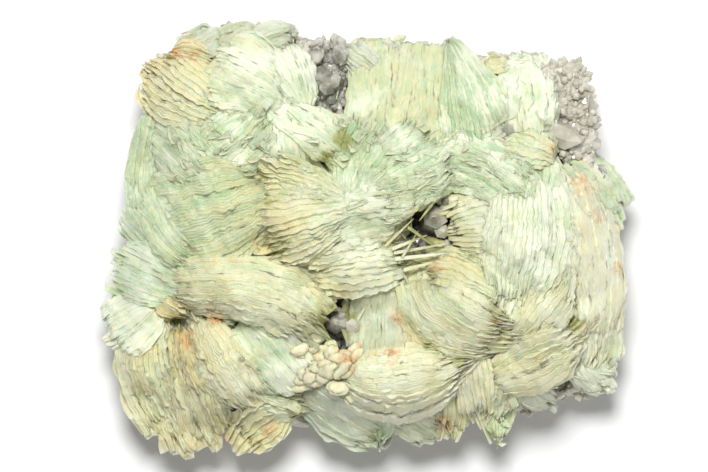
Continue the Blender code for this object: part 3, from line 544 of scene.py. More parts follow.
def druse(name, pale, dim):
    """Druse quartz: crystal clouded by milky veils, so light goes in but nothing shows through."""
    made, tree, shader = new_material(name)
    place = add_node(tree, "ShaderNodeTexCoord").outputs["Object"]
    clouds = add_node(
        tree, "ShaderNodeTexNoise", {"Scale": 1 / (3.0 * MM), "Detail": 4.0}, {"Vector": place}
    ).outputs["Fac"]
    veil = add_node(
        tree, "ShaderNodeMapRange", {"From Min": 0.4, "From Max": 0.62}, {"Value": clouds}
    ).outputs[0]
    tree.links.new(blended(tree, veil, pale, dim), shader.inputs["Base Color"])
    shader.inputs["Roughness"].default_value = 0.15
    shader.inputs["IOR"].default_value = 1.544
    shader.inputs["Transmission Weight"].default_value = 0.12
    shader.inputs["Subsurface Weight"].default_value = 0.35
    shader.inputs["Subsurface Radius"].default_value = (1.0, 1.0, 0.9)
    shader.inputs["Subsurface Scale"].default_value = 0.8 * MM
    return made


def rock():
    """Broken vein quartz: sugary and rough, grey-white with brown iron in patches."""
    made, tree, shader = new_material("quartz_rock")
    place = add_node(tree, "ShaderNodeTexCoord").outputs["Object"]
    clouds = add_node(
        tree, "ShaderNodeTexNoise", {"Scale": 1 / (6.0 * MM), "Detail": 5.0}, {"Vector": place}
    ).outputs["Fac"]
    sugar = add_node(
        tree, "ShaderNodeTexVoronoi", {"Scale": 1 / (1.4 * MM)}, {"Vector": place}
    ).outputs["Distance"]
    veil = add_node(
        tree, "ShaderNodeMapRange", {"From Min": 0.38, "From Max": 0.62}, {"Value": clouds}
    ).outputs[0]
    stone = blended(tree, veil, SMOKE, MILK)
    darkening = add_node(
        tree, "ShaderNodeMapRange", {"From Min": 0.60, "From Max": 0.75, "To Max": 0.6},
        {"Value": clouds},
    ).outputs[0]
    tree.links.new(blended(tree, darkening, stone, UMBER), shader.inputs["Base Color"])
    relief = add_node(
        tree, "ShaderNodeBump", {"Strength": 1.0, "Distance": 0.8 * MM}, {"Height": sugar}
    ).outputs["Normal"]
    tree.links.new(relief, shader.inputs["Normal"])
    shader.inputs["Roughness"].default_value = 0.5
    shader.inputs["Subsurface Weight"].default_value = 0.3
    shader.inputs["Subsurface Radius"].default_value = (1.0, 1.0, 1.0)
    shader.inputs["Subsurface Scale"].default_value = 1.0 * MM
    return made


def paper():
    """Matt white card, which gives a soft shadow."""
    made, tree, shader = new_material("white_card")
    shader.inputs["Base Color"].default_value = linear(PAPER)
    shader.inputs["Roughness"].default_value = 0.9
    shader.inputs["Specular IOR Level"].default_value = 0.1
    return made


def choose(*objects):
    """Selects these objects and no others, and makes the first one active."""
    bpy.ops.object.select_all(action="DESELECT")
    for obj in objects:
        obj.select_set(True)
    bpy.context.view_layer.objects.active = objects[0]


def apply_modifier(obj, kind, **settings):
    """Adds a modifier with its settings and applies it."""
    modifier = obj.modifiers.new(kind.title(), kind)
    for name, value in settings.items():
        setattr(modifier, name, value)
    choose(obj)
    bpy.ops.object.modifier_apply(modifier=modifier.name)


def positions(obj):
    flat = np.empty(len(obj.data.vertices) * 3)
    obj.data.vertices.foreach_get("co", flat)
    return flat.reshape(-1, 3)


def place_vertices(obj, points):
    obj.data.vertices.foreach_set("co", (points * MM).ravel())
    obj.data.update()


def write_attribute(obj, name, values):
    """A number for each vertex, or three, that the material reads."""
    kind, field = ("FLOAT", "value") if values.ndim == 1 else ("FLOAT_VECTOR", "vector")
    layer = obj.data.attributes.new(name, kind, "POINT")
    layer.data.foreach_set(field, values.ravel())


def cut_along(axis, cuts):
    """Subdivides the selected block's edges that run along one axis."""
    mesh = bmesh.from_edit_mesh(bpy.context.object.data)
    for edge in mesh.edges:
        run = edge.verts[1].co - edge.verts[0].co
        edge.select_set(abs(run[axis]) > 0.5 * run.length)
    bmesh.update_edit_mesh(bpy.context.object.data)
    bpy.ops.mesh.subdivide(number_cuts=cuts)


def blade_stock(name, count, pieces_along, pieces_deep):
    """A row of blank blades, joined in one mesh: X along the rim, Y through it, Z up to it."""
    bpy.ops.object.select_all(action="DESELECT")
    bpy.ops.mesh.primitive_cube_add(size=1.0, location=(0.5, 0.0, 0.5))
    obj = bpy.context.object
    obj.name = name
    bpy.ops.object.transform_apply(location=True, rotation=False, scale=False)
    bpy.ops.object.mode_set(mode="EDIT")
    bpy.ops.mesh.select_mode(type="EDGE")
    bpy.ops.mesh.select_all(action="DESELECT")
    cut_along(0, pieces_along - 1)
    if pieces_deep > 1:
        cut_along(2, pieces_deep - 1)
    bpy.ops.object.mode_set(mode="OBJECT")
    apply_modifier(
        obj, "ARRAY", count=count, use_relative_offset=False, use_constant_offset=True,
        constant_offset_displace=(0.0, 2.0, 0.0),
    )
    blank = positions(obj).reshape(count, -1, 3)
    blank[..., 1] -= 2.0 * np.arange(count)[:, None]
    return obj, blank


def through(first, middle, last, share):
    """The value at this share of a curve that passes the three given ones."""
    return (
        first * (1 - share) * (1 - 2 * share)
        + middle * 4 * share * (1 - share)
        + last * share * (2 * share - 1)
    )


def swell(points):
    """Low waves over the whole crust, so that no fan is a smooth dome."""
    x, y = points[..., 0] / SWELL_SPACING * 6.3, points[..., 1] / SWELL_SPACING * 6.3
    return SWELL * (np.sin(x + 0.6 * y) + np.sin(1.4 * y - 0.7 * x + 1.0) + np.sin(2.3 * x + 1.9 * y + 2.0) / 2)


def fan_surface(fan, along, across, ground):
    """Points of the surface that a fan's plates lie in: along from 0 to 1, across from -1 to 1."""
    share = along[..., None]
    root, middle, tip = (np.array(point, float) for point in (fan.root, fan.middle, fan.tip))
    run = root * (4 * share - 3) + middle * (4 - 8 * share) + tip * (4 * share - 1)
    ahead = unit(run)
    aside = np.stack((-ahead[..., 1], ahead[..., 0]), axis=-1)
    wide = WIDER * through(*fan.widths, along) * across
    flat = through(root, middle, tip, share) + aside * wide[..., None]
    flat += ahead * (fan.bow * along * (1 - across**2))[..., None]
    height = ground(flat) + through(*LIE, along) + fan.lift - SIDE_DROP * across**2
    return np.concatenate((flat, height[..., None] + swell(flat)[..., None]), axis=-1)


def blurred(grid, spread):
    """A grid of numbers smoothed both ways."""
    reach = round(3 * spread)
    weight = np.exp(-np.arange(-reach, reach + 1) ** 2 / (2 * spread**2))
    for axis in (0, 1):
        grid = np.apply_along_axis(np.convolve, axis, grid, weight / weight.sum(), "same")
    return grid


def crust_heights():
    """A function that gives the height of the solid crust, evened, at any place."""
    graph = bpy.context.evaluated_depsgraph_get()
    crust, rock_below = (BVHTree.FromObject(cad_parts[name], graph) for name in ("prehnite_crust", "quartz_matrix"))
    low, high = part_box("prehnite_crust")
    margin = 4 * EVEN_STEP
    across = np.arange(low.x / MM - margin, high.x / MM + margin, EVEN_STEP)
    upward = np.arange(low.y / MM - margin, high.y / MM + margin, EVEN_STEP)
    known = np.ones((len(across), len(upward)))
    heights = np.full(known.shape, OUTLINE_HEIGHT)
    for column, x in enumerate(across):
        for row, y in enumerate(upward):
            above = Vector((x * MM, y * MM, 0.1))
            spot = crust.ray_cast(above, Vector((0, 0, -1)))[0]
            if spot is not None:
                heights[column, row] = spot.z / MM
            elif rock_below.ray_cast(above, Vector((0, 0, -1)))[0] is not None:
                known[column, row] = 0.001
    heights = blurred(heights * known, EVEN_RANGE) / blurred(known, EVEN_RANGE)

    def at(points):
        x = np.clip((points[..., 0] - across[0]) / EVEN_STEP, 0, len(across) - 1.001)
        y = np.clip((points[..., 1] - upward[0]) / EVEN_STEP, 0, len(upward) - 1.001)
        column, row = x.astype(int), y.astype(int)
        x, y = x - column, y - row
        left = heights[column, row] * (1 - y) + heights[column, row + 1] * y
        right = heights[column + 1, row] * (1 - y) + heights[column + 1, row + 1] * y
        return left * (1 - x) + right * x

    return at


def unit(vectors):
    return vectors / np.linalg.norm(vectors, axis=-1, keepdims=True)


def fan_frame(fan, along, across, ground):
    """At each point of a fan: the directions along it, across it and out of it."""
    step = 0.02
    run = unit(fan_surface(fan, along + step, across, ground) - fan_surface(fan, along - step, across, ground))
    side = fan_surface(fan, along, across + step, ground) - fan_surface(fan, along, across - step, ground)
    out = unit(np.cross(run, side))
    return run, np.cross(out, run), out


def fan_length(fan):
    return math.dist(fan.root, fan.middle) + math.dist(fan.middle, fan.tip)


def hollow_shade_at(points):
    """How deep in a hollow each point lies, from 0 outside to 1 in its middle, for its painted shade."""
    darkening = np.zeros(points.shape[:-1])
    for hollow in HOLLOWS:
        far = np.hypot(points[..., 0] - hollow.middle[0], points[..., 1] - hollow.middle[1]) / hollow.radius
        darkening = np.maximum(darkening, np.clip(1.35 - far, 0, 1))
    return darkening


def rust_at(points):
    """How much iron stain there is at each point."""
    rust = np.zeros(points.shape[:-1])
    for mark in STAINS:
        far = np.hypot(points[..., 0] - mark.middle[0], points[..., 1] - mark.middle[1]) / mark.radius
        rust = np.maximum(rust, mark.strength * np.clip(1.5 - far, 0, 1))
    return rust


def colour_in(obj, points, rim_and_painted_light, grain, frost, straw, rust):
    """Writes what the plates' material reads at each vertex."""
    flat = points.reshape(-1, 3)
    rust = rust + rust_at(points)
    write_attribute(obj, "grain", np.broadcast_to(grain, points.shape).reshape(-1, 3))
    # The hollows' painted shade
    write_attribute(obj, "darkening", hollow_shade_at(flat))
    # The first of these gives the rims' pale colour with a painted highlight, and the painted shade of grooves,
    # undersides and lower parts
    for name, values in (("rim_and_painted_light", rim_and_painted_light), ("frost", frost), ("straw", straw), ("rust", rust)):
        write_attribute(obj, name, np.broadcast_to(values, points.shape[:-1]).ravel())


def toward(pair, share):
    """A value that goes from the first of a pair to the second."""
    return pair[0] + (pair[1] - pair[0]) * share


def smoothed(rng, shape, windows):
    """Random numbers in a grid, smoothed along each of its two ways, with a spread of 1."""
    grid = rng.normal(0, 1, (shape[0] + windows[0], shape[1] + windows[1]))
    for axis, window in enumerate(windows):
        total = np.cumsum(grid, axis=axis)
        grid = np.take(total, range(window, total.shape[axis]), axis) - np.take(
            total, range(total.shape[axis] - window), axis
        )
    return grid / math.sqrt(windows[0] * windows[1])


def face_outward(obj):
    """Turns a mirrored sheet's faces to its outside again."""
    choose(obj)
    bpy.ops.object.mode_set(mode="EDIT")
    bpy.ops.mesh.select_all(action="SELECT")
    bpy.ops.mesh.normals_make_consistent(inside=False)
    bpy.ops.object.mode_set(mode="OBJECT")


def sheet_stock(name, rows, columns):
    """A flat slab of a grid: each vertex's row and column, and whether it is on the upper side."""
    bpy.ops.object.select_all(action="DESELECT")
    bpy.ops.mesh.primitive_grid_add(x_subdivisions=rows, y_subdivisions=columns, size=2.0)
    obj = bpy.context.object
    obj.name = name
    apply_modifier(obj, "SOLIDIFY", thickness=1.0, offset=-1.0)
    flat = positions(obj)
    row = np.rint((flat[:, 0] + 1) / 2 * rows).astype(int)
    column = np.rint((flat[:, 1] + 1) / 2 * columns).astype(int)
    return obj, row, column, flat[:, 2] > -0.5


def fan_sheet(fan, seed, ground, skirt=False):
    """One fan: a closed sheet whose upper side is ridged by the rims of its plates."""
    rng = np.random.default_rng(SEED + seed)
    length = fan_length(fan)
    rows = max(8, round(length / (SKIRT_STATION if skirt else STATION)))
    plates = max(3, round(2 * WIDER * max(fan.widths) / fan.pitch))
    profile = PLAIN_PLATE if skirt else PLATE
    columns = plates * len(profile) - 1
    obj, row, column, upper = sheet_stock("fan_" + fan.name, rows, columns)
    plate, part = np.divmod(column, len(profile))
    place, high, rim_and_painted_light = np.array(profile).T[:, part]
    grid = (plates, rows + 1)

    wide = rng.uniform(0.65, 1.35, plates)
    edges = np.concatenate(([0.0], np.cumsum(wide))) / wide.sum() * 2 - 1
    pitch = 2 / plates
    wave = 0.16 * pitch * smoothed(rng, grid, (4, 8)) + 0.10 * pitch * smoothed(rng, grid, (1, 2))
    across = edges[plate] + (edges[plate + 1] - edges[plate]) * place + wave[plate, row]
    if fan.relief < 0:
        across = -across

    piece = np.cumsum(rng.uniform(0, 1, grid) < STATION / fan.unbroken, axis=1)
    levels, tints = rng.normal(0, 1, (2, plates, piece.max() + 1))
    level = np.take_along_axis(levels, piece, axis=1)
    tint = 0.35 * np.take_along_axis(tints, piece, axis=1) + 0.3 * smoothed(rng, grid, (1, 4))
    broken = np.diff(piece, axis=1, prepend=0) > 0
    tooth = TOOTH * min(1.0, TOOTH_RELIEF / abs(fan.relief))
    strength = 1 + 0.30 * smoothed(rng, grid, (1, 6)) + tooth * rng.normal(0, 1, grid)
    strength = PROUD * np.clip(np.where(broken, 0.5, strength), 0.2, 1.7)

    contrast = min(1.0, abs(fan.relief) / FULL_CONTRAST)
    ends = (0.4 + 0.6 * contrast) * rng.normal(0, RAGGED_END, plates)
    ends += 0.4 * np.sin(np.arange(plates) * 0.9 + seed)
    share = row / rows
    along = share * (1 - ROUND_END * (edges[plate] + pitch / 2) ** 2 + ends[plate] / length)
    along -= (1 - share) * 0.6 * ends[::-1][plate] / length
    if skirt:
        along, across = along * SKIRT_LONGER, across * SKIRT_WIDER
    run, side, out = fan_frame(fan, along, across, ground)
    uneven = min(1.0, 0.12 + 2.0 * abs(fan.relief))
    bundle = uneven * (BUNDLE * smoothed(rng, grid, (3, 12)) + LEVEL_STEP * level)
    height = bundle[plate, row] + abs(fan.relief) * high * strength[plate, row]
    height -= ROOT_DIP * np.clip(0.12 - share, 0, None) / 0.12
    height -= 0.5 * np.clip(share - 0.92, 0, None) / 0.08
    height -= TIP_NOTCH * contrast * np.clip(share - 0.86, 0, None) / 0.14 * (1 - high)
    beside = np.clip((np.abs(edges[plate] + pitch / 2) - 0.55) / 0.45, 0, 1)
    height -= (SIDE_FALL + 0.5 * abs(fan.relief) * high) * beside**2
    height -= SKIRT_DOWN if skirt else 0.0
    top = fan_surface(fan, along, across, ground)
    under = fan_surface(fan, SHEET_UNDER * along, SHEET_UNDER * across, ground)
    points = np.where(upper[:, None], top + out * height[:, None], under - (0, 0, SHEET_THICK))
    place_vertices(obj, points)
    if fan.relief < 0:
        face_outward(obj)

    number = rng.uniform(0, 100, plates)[plate] if abs(fan.relief) > FLAT_FACE else 0.1 * plate
    grain = np.stack((along * length, through(*fan.widths, along) * across, number), axis=-1)
    # Painted highlight on the rims and painted shade in the grooves, evened out on flat faces; the underside gets
    # full painted shade
    rim_and_painted_light = EVEN_RIM + contrast * (0.30 + 0.70 * rim_and_painted_light - EVEN_RIM)
    colour_in(
        obj, points, np.where(upper, rim_and_painted_light, 0.3), grain,
        toward(fan.frost, along) + fan.vary * tint[plate, row],
        toward(fan.straw, along) + 0.08 * level[plate, row],
        toward(fan.rust, along) + 0.06 * tint[plate, row],
    )
    return obj


def whole_fan(fan, seed, ground):
    """A fan's own plates and the lower ones round it, in one mesh."""
    plates = fan_sheet(fan, seed, ground)
    skirt = fan_sheet(fan, seed + 500, ground, skirt=True)
    choose(plates, skirt)
    bpy.ops.object.join()
    return plates


def rocky_sides(obj, material):
    """Shows rock on the core's steep lower sides, which the fans overhang."""
    obj.data.materials.append(material)
    for face in obj.data.polygons:
        if face.center.z < ROCKY_BELOW * MM and face.normal.z < STEEP:
            face.material_index = 1


def round_knobs(ground):
    """A cluster of small round knobs, joined in one mesh."""
    rng = np.random.default_rng(SEED + 700)
    bpy.ops.object.select_all(action="DESELECT")
    bpy.ops.mesh.primitive_uv_sphere_add(segments=16, ring_count=10, radius=1.0)
    obj = bpy.context.object
    obj.name = "round_knobs"
    ball = positions(obj)
    apply_modifier(
        obj, "ARRAY", count=KNOB_LUMPS * len(KNOBS), use_relative_offset=False,
        use_constant_offset=True, constant_offset_displace=(4.0, 0.0, 0.0),
    )
    lumps = [knob for knob in KNOBS for lump in range(KNOB_LUMPS)]
    points = np.empty((len(lumps), *ball.shape))
    for index, knob in enumerate(lumps):
        turn = np.array(Matrix.Rotation(rng.normal(0.3, 0.5), 3, "Z") @ Matrix.Rotation(rng.normal(0, 0.35), 3, "X"))
        stretched = ball * knob.radius * (rng.uniform(1.1, 1.6), rng.uniform(0.8, 1.0), rng.uniform(0.55, 0.75))
        waves = 1 + 0.14 * np.sin(ball @ rng.normal(0, 2.6, 3) + index) + 0.08 * np.sin(ball @ rng.normal(0, 7, 3))
        middle = np.array((*knob.middle, 0.0)) + (*rng.normal(0, 0.5 * knob.radius, 2), 0.0)
        middle[2] = ground(middle) + KNOB_HEIGHT + rng.uniform(-0.3, 0.5)
        points[index] = middle + (stretched * waves[:, None]) @ turn.T
    place_vertices(obj, points.reshape(-1, 3))
    grain = points[..., [1, 0, 2]]
    rust = np.array([knob.rust for knob in lumps])[:, None]
    # Their tops get the pale rim colour with a painted highlight, their lower sides a little painted shade
    colour_in(obj, points, 0.74 + 0.2 * ball[:, 2], grain, 0.7, 0.45, 0.30 + 0.35 * rust)
    return obj


def loose_laths(ground):
    """Thin pointed laths that lie loose in the pockets and crevices, joined in one mesh."""
    obj, blank = blade_stock("loose_laths", len(LATHS), 4, 1)
    ends = np.array([(lath.start, lath.end) for lath in LATHS])
    above = np.array([lath.above for lath in LATHS])
    ends = np.concatenate((ends, (ground(ends) + above)[..., None]), axis=-1)
    run = (ends[:, 1] - ends[:, 0])[:, None, :]
    side = unit(np.cross(run, (0.0, 0.0, 1.0)))
    out = unit(np.cross(side, run))
    wide, frost, straw = (np.array([lath[at] for lath in LATHS])[:, None] for at in (3, 4, 5))
    share, through_it, depth = blank[..., 0], blank[..., 1], blank[..., 2]
    breadth = (depth - 0.5) * 0.75 * wide * (1 - 0.8 * share**2)
    points = (
        ends[:, :1]
        + run * share[..., None]
        + side * breadth[..., None]
        + out * (through_it * LATH_THICK + 0.3 * breadth)[..., None]
    )
    place_vertices(obj, points.reshape(-1, 3))
    grain = np.stack((share * np.linalg.norm(run, axis=-1), breadth, 5 * wide + 0 * share), axis=-1)
    colour_in(obj, points, 0.7, grain, frost + 0 * share, straw + 0 * share, 0.0 * share)
    return obj


def scraps(core_piece, ground):
    """Small blades wherever a look straight down finds the core bare, and on the broken fans."""
    rng = np.random.default_rng(SEED + 900)
    graph = bpy.context.evaluated_depsgraph_get()
    low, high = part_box("prehnite_crust")
    middles, headings, looks = [], [], []
    for fan in FANS:
        for share in (0.0, 0.25, 0.5, 0.75, 1.0):
            ends = np.array([share, share + 0.02])
            here, there = fan_surface(fan, ends, np.zeros(2), ground)
            middles.append(here[:2])
            headings.append(math.atan2(there[1] - here[1], there[0] - here[0]))
            looks.append((toward(fan.frost, share), toward(fan.straw, share), toward(fan.rust, share) * 0.6))
    middles = np.array(middles)
    broken = {"fan_" + fan.name for fan in FANS if fan.unbroken < SCRAP_UNDER}
    found = []
    for _ in range(SCRAP_TRIES):
        x, y = rng.uniform(low.x, high.x), rng.uniform(low.y, high.y)
        hit, spot, normal, _, obj, _ = bpy.context.scene.ray_cast(graph, (x, y, 0.1), (0, 0, -1))
        if not hit or normal.z < 0.1 or obj is None:
            continue
        if obj == core_piece or (obj.name in broken and rng.uniform() < SCRAP_SHARE):
            near = int(np.argmin(((middles - np.array((x, y)) / MM) ** 2).sum(axis=1)))
            proud = 1.0 if obj == core_piece else 0.5
            found.append((np.array(spot) / MM, np.array(normal), headings[near], looks[near], proud))
    count = len(found)
    obj, blank = blade_stock("crust_scraps", count, SCRAP_ALONG, 1)
    share, through_it, depth = blank[..., 0], blank[..., 1], blank[..., 2]
    spots, out, heading, look, proud = (np.array([entry[at] for entry in found]) for at in range(5))
    heading = heading + rng.normal(0, 0.32, count)
    run = np.stack((np.cos(heading), np.sin(heading), np.zeros(count)), axis=-1)
    run = unit(run - out * (run * out).sum(axis=-1, keepdims=True))
    side = np.cross(out, run)
    tilt = rng.normal(0.5, 0.2, (count, 1)) + 0.4 * (proud[:, None] > 0.9)
    inward = side * np.sin(tilt) - out * np.cos(tilt)
    facing = side * np.cos(tilt) + out * np.sin(tilt)
    length = rng.uniform(1.6, 4.4, (count, 1))
    height = (rng.uniform(0.3, 1.0, (count, 1)) - 0.6 * (2 * share - 1) ** 2) * proud[:, None]
    height += rng.uniform(-0.15, 0.15, share.shape)
    points = (
        spots[:, None, :]
        + run[:, None, :] * (length * (share - 0.5))[..., None]
        + out[:, None, :] * (height * depth)[..., None]
        + inward[:, None, :] * (SCRAP_REACH * (1 - depth))[..., None]
        + facing[:, None, :] * (through_it * (0.5 - 0.35 * depth) * proud[:, None])[..., None]
    )
    place_vertices(obj, points.reshape(-1, 3))
    number = rng.uniform(0, 100, (count, 1))
    grain = np.stack((share * length, (1 - depth) * SCRAP_REACH, number + 0 * share), axis=-1)
    levels = (look[:, at, None] + rng.normal(0, 0.12, (count, 1)) for at in range(3))
    # Painted shade down at each blade's foot, and the rim's pale colour with a painted highlight at its top
    colour_in(obj, points, 0.35 + 0.65 * depth, grain, *levels)
    return obj


def worn_copy(node, name, voxel, sink, rough):
    """A CAD node's shape as one fine mesh, drawn in a little and roughened."""
    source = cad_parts[node]
    mesh = source.data.copy()
    obj = bpy.data.objects.new(name, mesh)
    bpy.context.scene.collection.objects.link(obj)
    choose(obj)
    bpy.ops.object.mode_set(mode="EDIT")
    bpy.ops.mesh.select_all(action="SELECT")
    bpy.ops.mesh.remove_doubles(threshold=0.01 * MM)
    bpy.ops.object.mode_set(mode="OBJECT")
    apply_modifier(obj, "REMESH", mode="VOXEL", voxel_size=voxel * MM)
    apply_modifier(obj, "DISPLACE", strength=-sink * MM, mid_level=0.0)
    for index, (size, strength) in enumerate(rough):
        texture = bpy.data.textures.new(f"{name}_rough_{index}", "CLOUDS")
        texture.noise_scale = size * MM
        texture.noise_depth = 3
        apply_modifier(
            obj, "DISPLACE", texture=texture, texture_coords="GLOBAL", strength=strength * MM, mid_level=0.5
        )
    return obj


def core(ground):
    """The solid body of the crust, just under its fans, sunk where it has hollows."""
    obj = worn_copy("prehnite_crust", "crust_core", CORE_VOXEL, CORE_SINK, ((4.0, 2.0), (1.3, 1.1)))
    points = positions(obj) / MM
    facing_up = np.empty(len(points) * 3)
    obj.data.vertices.foreach_get("normal", facing_up)
    facing_up = np.clip(facing_up.reshape(-1, 3)[:, 2], 0, 1)
    over = points[:, 2] - (ground(points) - CORE_UNDER)
    points[:, 2] -= np.where(points[:, 2] > 16, np.clip(over, -4 * facing_up, None), 0)
    for hollow in HOLLOWS:
        far = np.hypot(points[:, 0] - hollow.middle[0], points[:, 1] - hollow.middle[1]) / hollow.radius
        points[:, 2] -= np.where(points[:, 2] > 18, facing_up * hollow.deep * np.clip(1.2 - far, 0, 1), 0)
    place_vertices(obj, points)
    grain = np.stack((points[:, 0], points[:, 2], points[:, 1]), axis=-1)
    # A little painted shade over the whole core, which lies under the fans
    colour_in(obj, points, 0.45, grain, 0.35, 0.40, 0.10)
    return obj


def matrix_rock():
    """The rock that carries everything, with its broken sides and back."""
    obj = worn_copy("quartz_matrix", "quartz_rock", ROCK_VOXEL, 0.6, ((6.0, 2.6), (1.6, 1.6)))
    points = positions(obj) / MM
    points[:, 2] = np.maximum(points[:, 2], 0.0)
    place_vertices(obj, points)
    return obj


# Where druse quartz grows: the middle of an oval, half its width and height, how many crystals,
# the radius of the largest, and how clear or grey it is
Patch = namedtuple("Patch", "name middle half count largest grey", defaults=(0,))

PATCHES = (
    Patch("right_corner", (41.2, 26.4), (6.8, 10.8), 420, 1.0),
    Patch("top_middle", (-7.4, 32.6), (5.4, 8.8), 200, 1.1, 1),
    Patch("top_edge", (-27.0, 42.0), (11.0, 1.8), 50, 0.9),
    Patch("pocket_right", (12.0, 2.0), (5.0, 6.6), 40, 1.5, 1),
    Patch("pocket_low", (-5.4, -16.4), (5.2, 6.0), 50, 1.4, 1),
    Patch("lower_rim", (36.0, -33.0), (14.0, 5.0), 130, 1.2),
    Patch("low_middle", (8.0, -37.0), (12.0, 3.0), 60, 1.1),
)

# Larger crystals: foot, the way it points, radius and length
Crystal = namedtuple("Crystal", "foot points radius length")

CRYSTALS = (
    Crystal((38.6, 17.0, 19.4), (0.80, 0.45, 0.36), 2.2, 6.4),
    Crystal((44.4, 19.8, 17.0), (0.50, -0.30, 0.70), 1.7, 4.6),
    Crystal((46.0, 14.4, 15.5), (0.40, -0.50, 0.70), 1.8, 4.8),
    Crystal((26.4, 18.6, 18.0), (0.10, 0.12, 0.98), 3.4, 8.0),
    Crystal((29.4, 20.4, 18.0), (-0.20, 0.22, 0.95), 2.6, 7.0),
    Crystal((18.6, 22.8, 16.5), (-0.06, -0.10, 0.99), 2.9, 8.0),
    Crystal((22.8, 22.4, 16.5), (0.16, -0.10, 0.98), 2.7, 7.6),
    Crystal((-5.2, -18.0, 12.5), (-0.10, 0.10, 0.99), 2.6, 10.5),
    Crystal((-6.8, -14.0, 12.5), (0.15, -0.20, 0.96), 1.9, 10.5),
    Crystal((-3.0, -14.6, 12.5), (-0.10, 0.25, 0.96), 1.6, 8.5),
    Crystal((12.8, 2.6, 12.5), (0.10, 0.16, 0.97), 2.7, 13.0),
    Crystal((9.4, -0.8, 12.5), (-0.16, -0.10, 0.97), 2.1, 11.5),
    Crystal((15.0, 5.6, 12.5), (0.12, 0.20, 0.96), 2.0, 12.0),
    Crystal((14.8, -0.6, 12.5), (0.20, -0.16, 0.96), 1.8, 10.0),
    Crystal((-11.0, 37.0, 17.5), (0.20, -0.30, 0.93), 2.2, 5.4),
    Crystal((-9.0, 33.0, 17.5), (-0.10, -0.20, 0.95), 2.4, 5.8),
    Crystal((-6.0, 36.6, 17.0), (0.20, 0.10, 0.97), 2.0, 5.6),
    Crystal((-5.8, 30.6, 17.5), (-0.20, 0.20, 0.95), 2.0, 6.0),
    Crystal((-8.6, 29.0, 17.5), (0.20, 0.30, 0.90), 1.8, 5.8),
)


PALE_CRYSTALS = (
    Crystal((34.6, 22.4, 21.4), (0.88, -0.34, 0.24), 2.7, 9.4),
    Crystal((43.6, 12.8, 17.0), (0.40, 0.60, 0.60), 1.7, 4.4),
    Crystal((-3.4, -18.8, 14.0), (0.12, 0.10, 0.98), 2.0, 9.6),
    Crystal((-6.6, -16.4, 14.0), (0.05, -0.10, 0.98), 1.5, 9.0),
    Crystal((8.4, 1.6, 14.0), (-0.10, 0.12, 0.98), 1.5, 9.0),
    Crystal((14.4, 2.2, 14.0), (0.10, -0.10, 0.98), 1.6, 9.6),
)


def crystal_stock(name, count):
    """A row of blank crystals: six-sided shafts of unit radius and height under blunt points."""
    bpy.ops.object.select_all(action="DESELECT")
    bpy.ops.mesh.primitive_cylinder_add(vertices=6, radius=1.0, depth=1.0, location=(0.0, 0.0, 0.5))
    obj = bpy.context.object
    obj.name = name
    bpy.ops.object.transform_apply(location=True, rotation=False, scale=False)
    bpy.ops.object.mode_set(mode="EDIT")
    bpy.ops.mesh.select_mode(type="FACE")
    mesh = bmesh.from_edit_mesh(obj.data)
    for face in mesh.faces:
        face.select_set(face.normal.z > 0.9)
    bmesh.update_edit_mesh(obj.data)
    bpy.ops.mesh.extrude_region_move(TRANSFORM_OT_translate={"value": (0.0, 0.0, 0.9)})
    bpy.ops.transform.resize(value=(0.12, 0.12, 1.0))
    bpy.ops.object.mode_set(mode="OBJECT")
    apply_modifier(
        obj, "ARRAY", count=count, use_relative_offset=False, use_constant_offset=True,
        constant_offset_displace=(4.0, 0.0, 0.0),
    )
    blank = positions(obj).reshape(count, -1, 3)
    blank[..., 0] -= 4.0 * np.arange(count)[:, None]
    return obj, blank


def stand(blank, crystal, rng):
    """One blank crystal put where it grows, its point a little lopsided."""
    shape = blank.copy()
    above = np.clip(shape[:, 2] - 1.0, 0, None)
    shape[:, :2] += above[:, None] * rng.uniform(-0.25, 0.25, 2)
    shaft = max(crystal.length - crystal.radius * 0.9, 0.2 * crystal.length)
    shape[:, 2] = np.minimum(shape[:, 2], 1.0) * shaft + above * crystal.radius
    shape[:, 0] *= crystal.radius
    shape[:, 1] *= crystal.radius * rng.uniform(0.75, 1.0)
    turn = Vector(crystal.points).to_track_quat("Z", "Y").to_matrix() @ Matrix.Rotation(rng.uniform(0, 6.3), 3, "Z")
    return shape @ np.array(turn).T + np.array(crystal.foot)


def ground_under(rock_piece):
    """A function that gives the rock's height and slope at a place, in millimetres."""
    graph = bpy.context.evaluated_depsgraph_get()
    tree = BVHTree.FromObject(rock_piece, graph)

    def at(x, y):
        hit, normal, _, _ = tree.ray_cast(Vector((x * MM, y * MM, 0.1)), Vector((0, 0, -1)))
        return (None, None) if hit is None else (hit.z / MM, normal)

    return at


def druse_patch(patch, seed, ground):
    """A crust of small crystals over an oval of the rock."""
    rng = np.random.default_rng(SEED * 100 + seed)
    found = []
    while len(found) < patch.count:
        turn, far = rng.uniform(0, 2 * math.pi), math.sqrt(rng.uniform(0, 1))
        x = patch.middle[0] + patch.half[0] * far * math.cos(turn)
        y = patch.middle[1] + patch.half[1] * far * math.sin(turn)
        height, slope = ground(x, y)
        radius = patch.largest * rng.uniform(0.35, 1.0) ** 1.5
        if height is None:
            found.append(None)
            continue
        points = slope + Vector(rng.normal(0, 0.45, 3))
        points.z = max(points.z, 0.25)
        foot = (x, y, height - 0.6 * radius)
        found.append(Crystal(foot, tuple(points), radius, radius * rng.uniform(1.6, 2.8)))
    return crystals("druse_" + patch.name, [crystal for crystal in found if crystal], rng)


def crystals(name, wanted, rng):
    """Crystals of the given sizes and places, joined in one mesh."""
    obj, blank = crystal_stock(name, len(wanted))
    points = np.concatenate([stand(blank[index], crystal, rng) for index, crystal in enumerate(wanted)])
    place_vertices(obj, points)
    return obj


def finish_piece(obj, material, node, angle=35):
    """Gives a piece its material and smooth shading, hangs it from the root, and hides the CAD node that it takes
    the place of.
    """
    obj.data.materials.clear()
    obj.data.materials.append(material)
    choose(obj)
    bpy.ops.object.shade_smooth_by_angle(angle=math.radians(angle))
    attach(obj, "root")
    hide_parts(node)


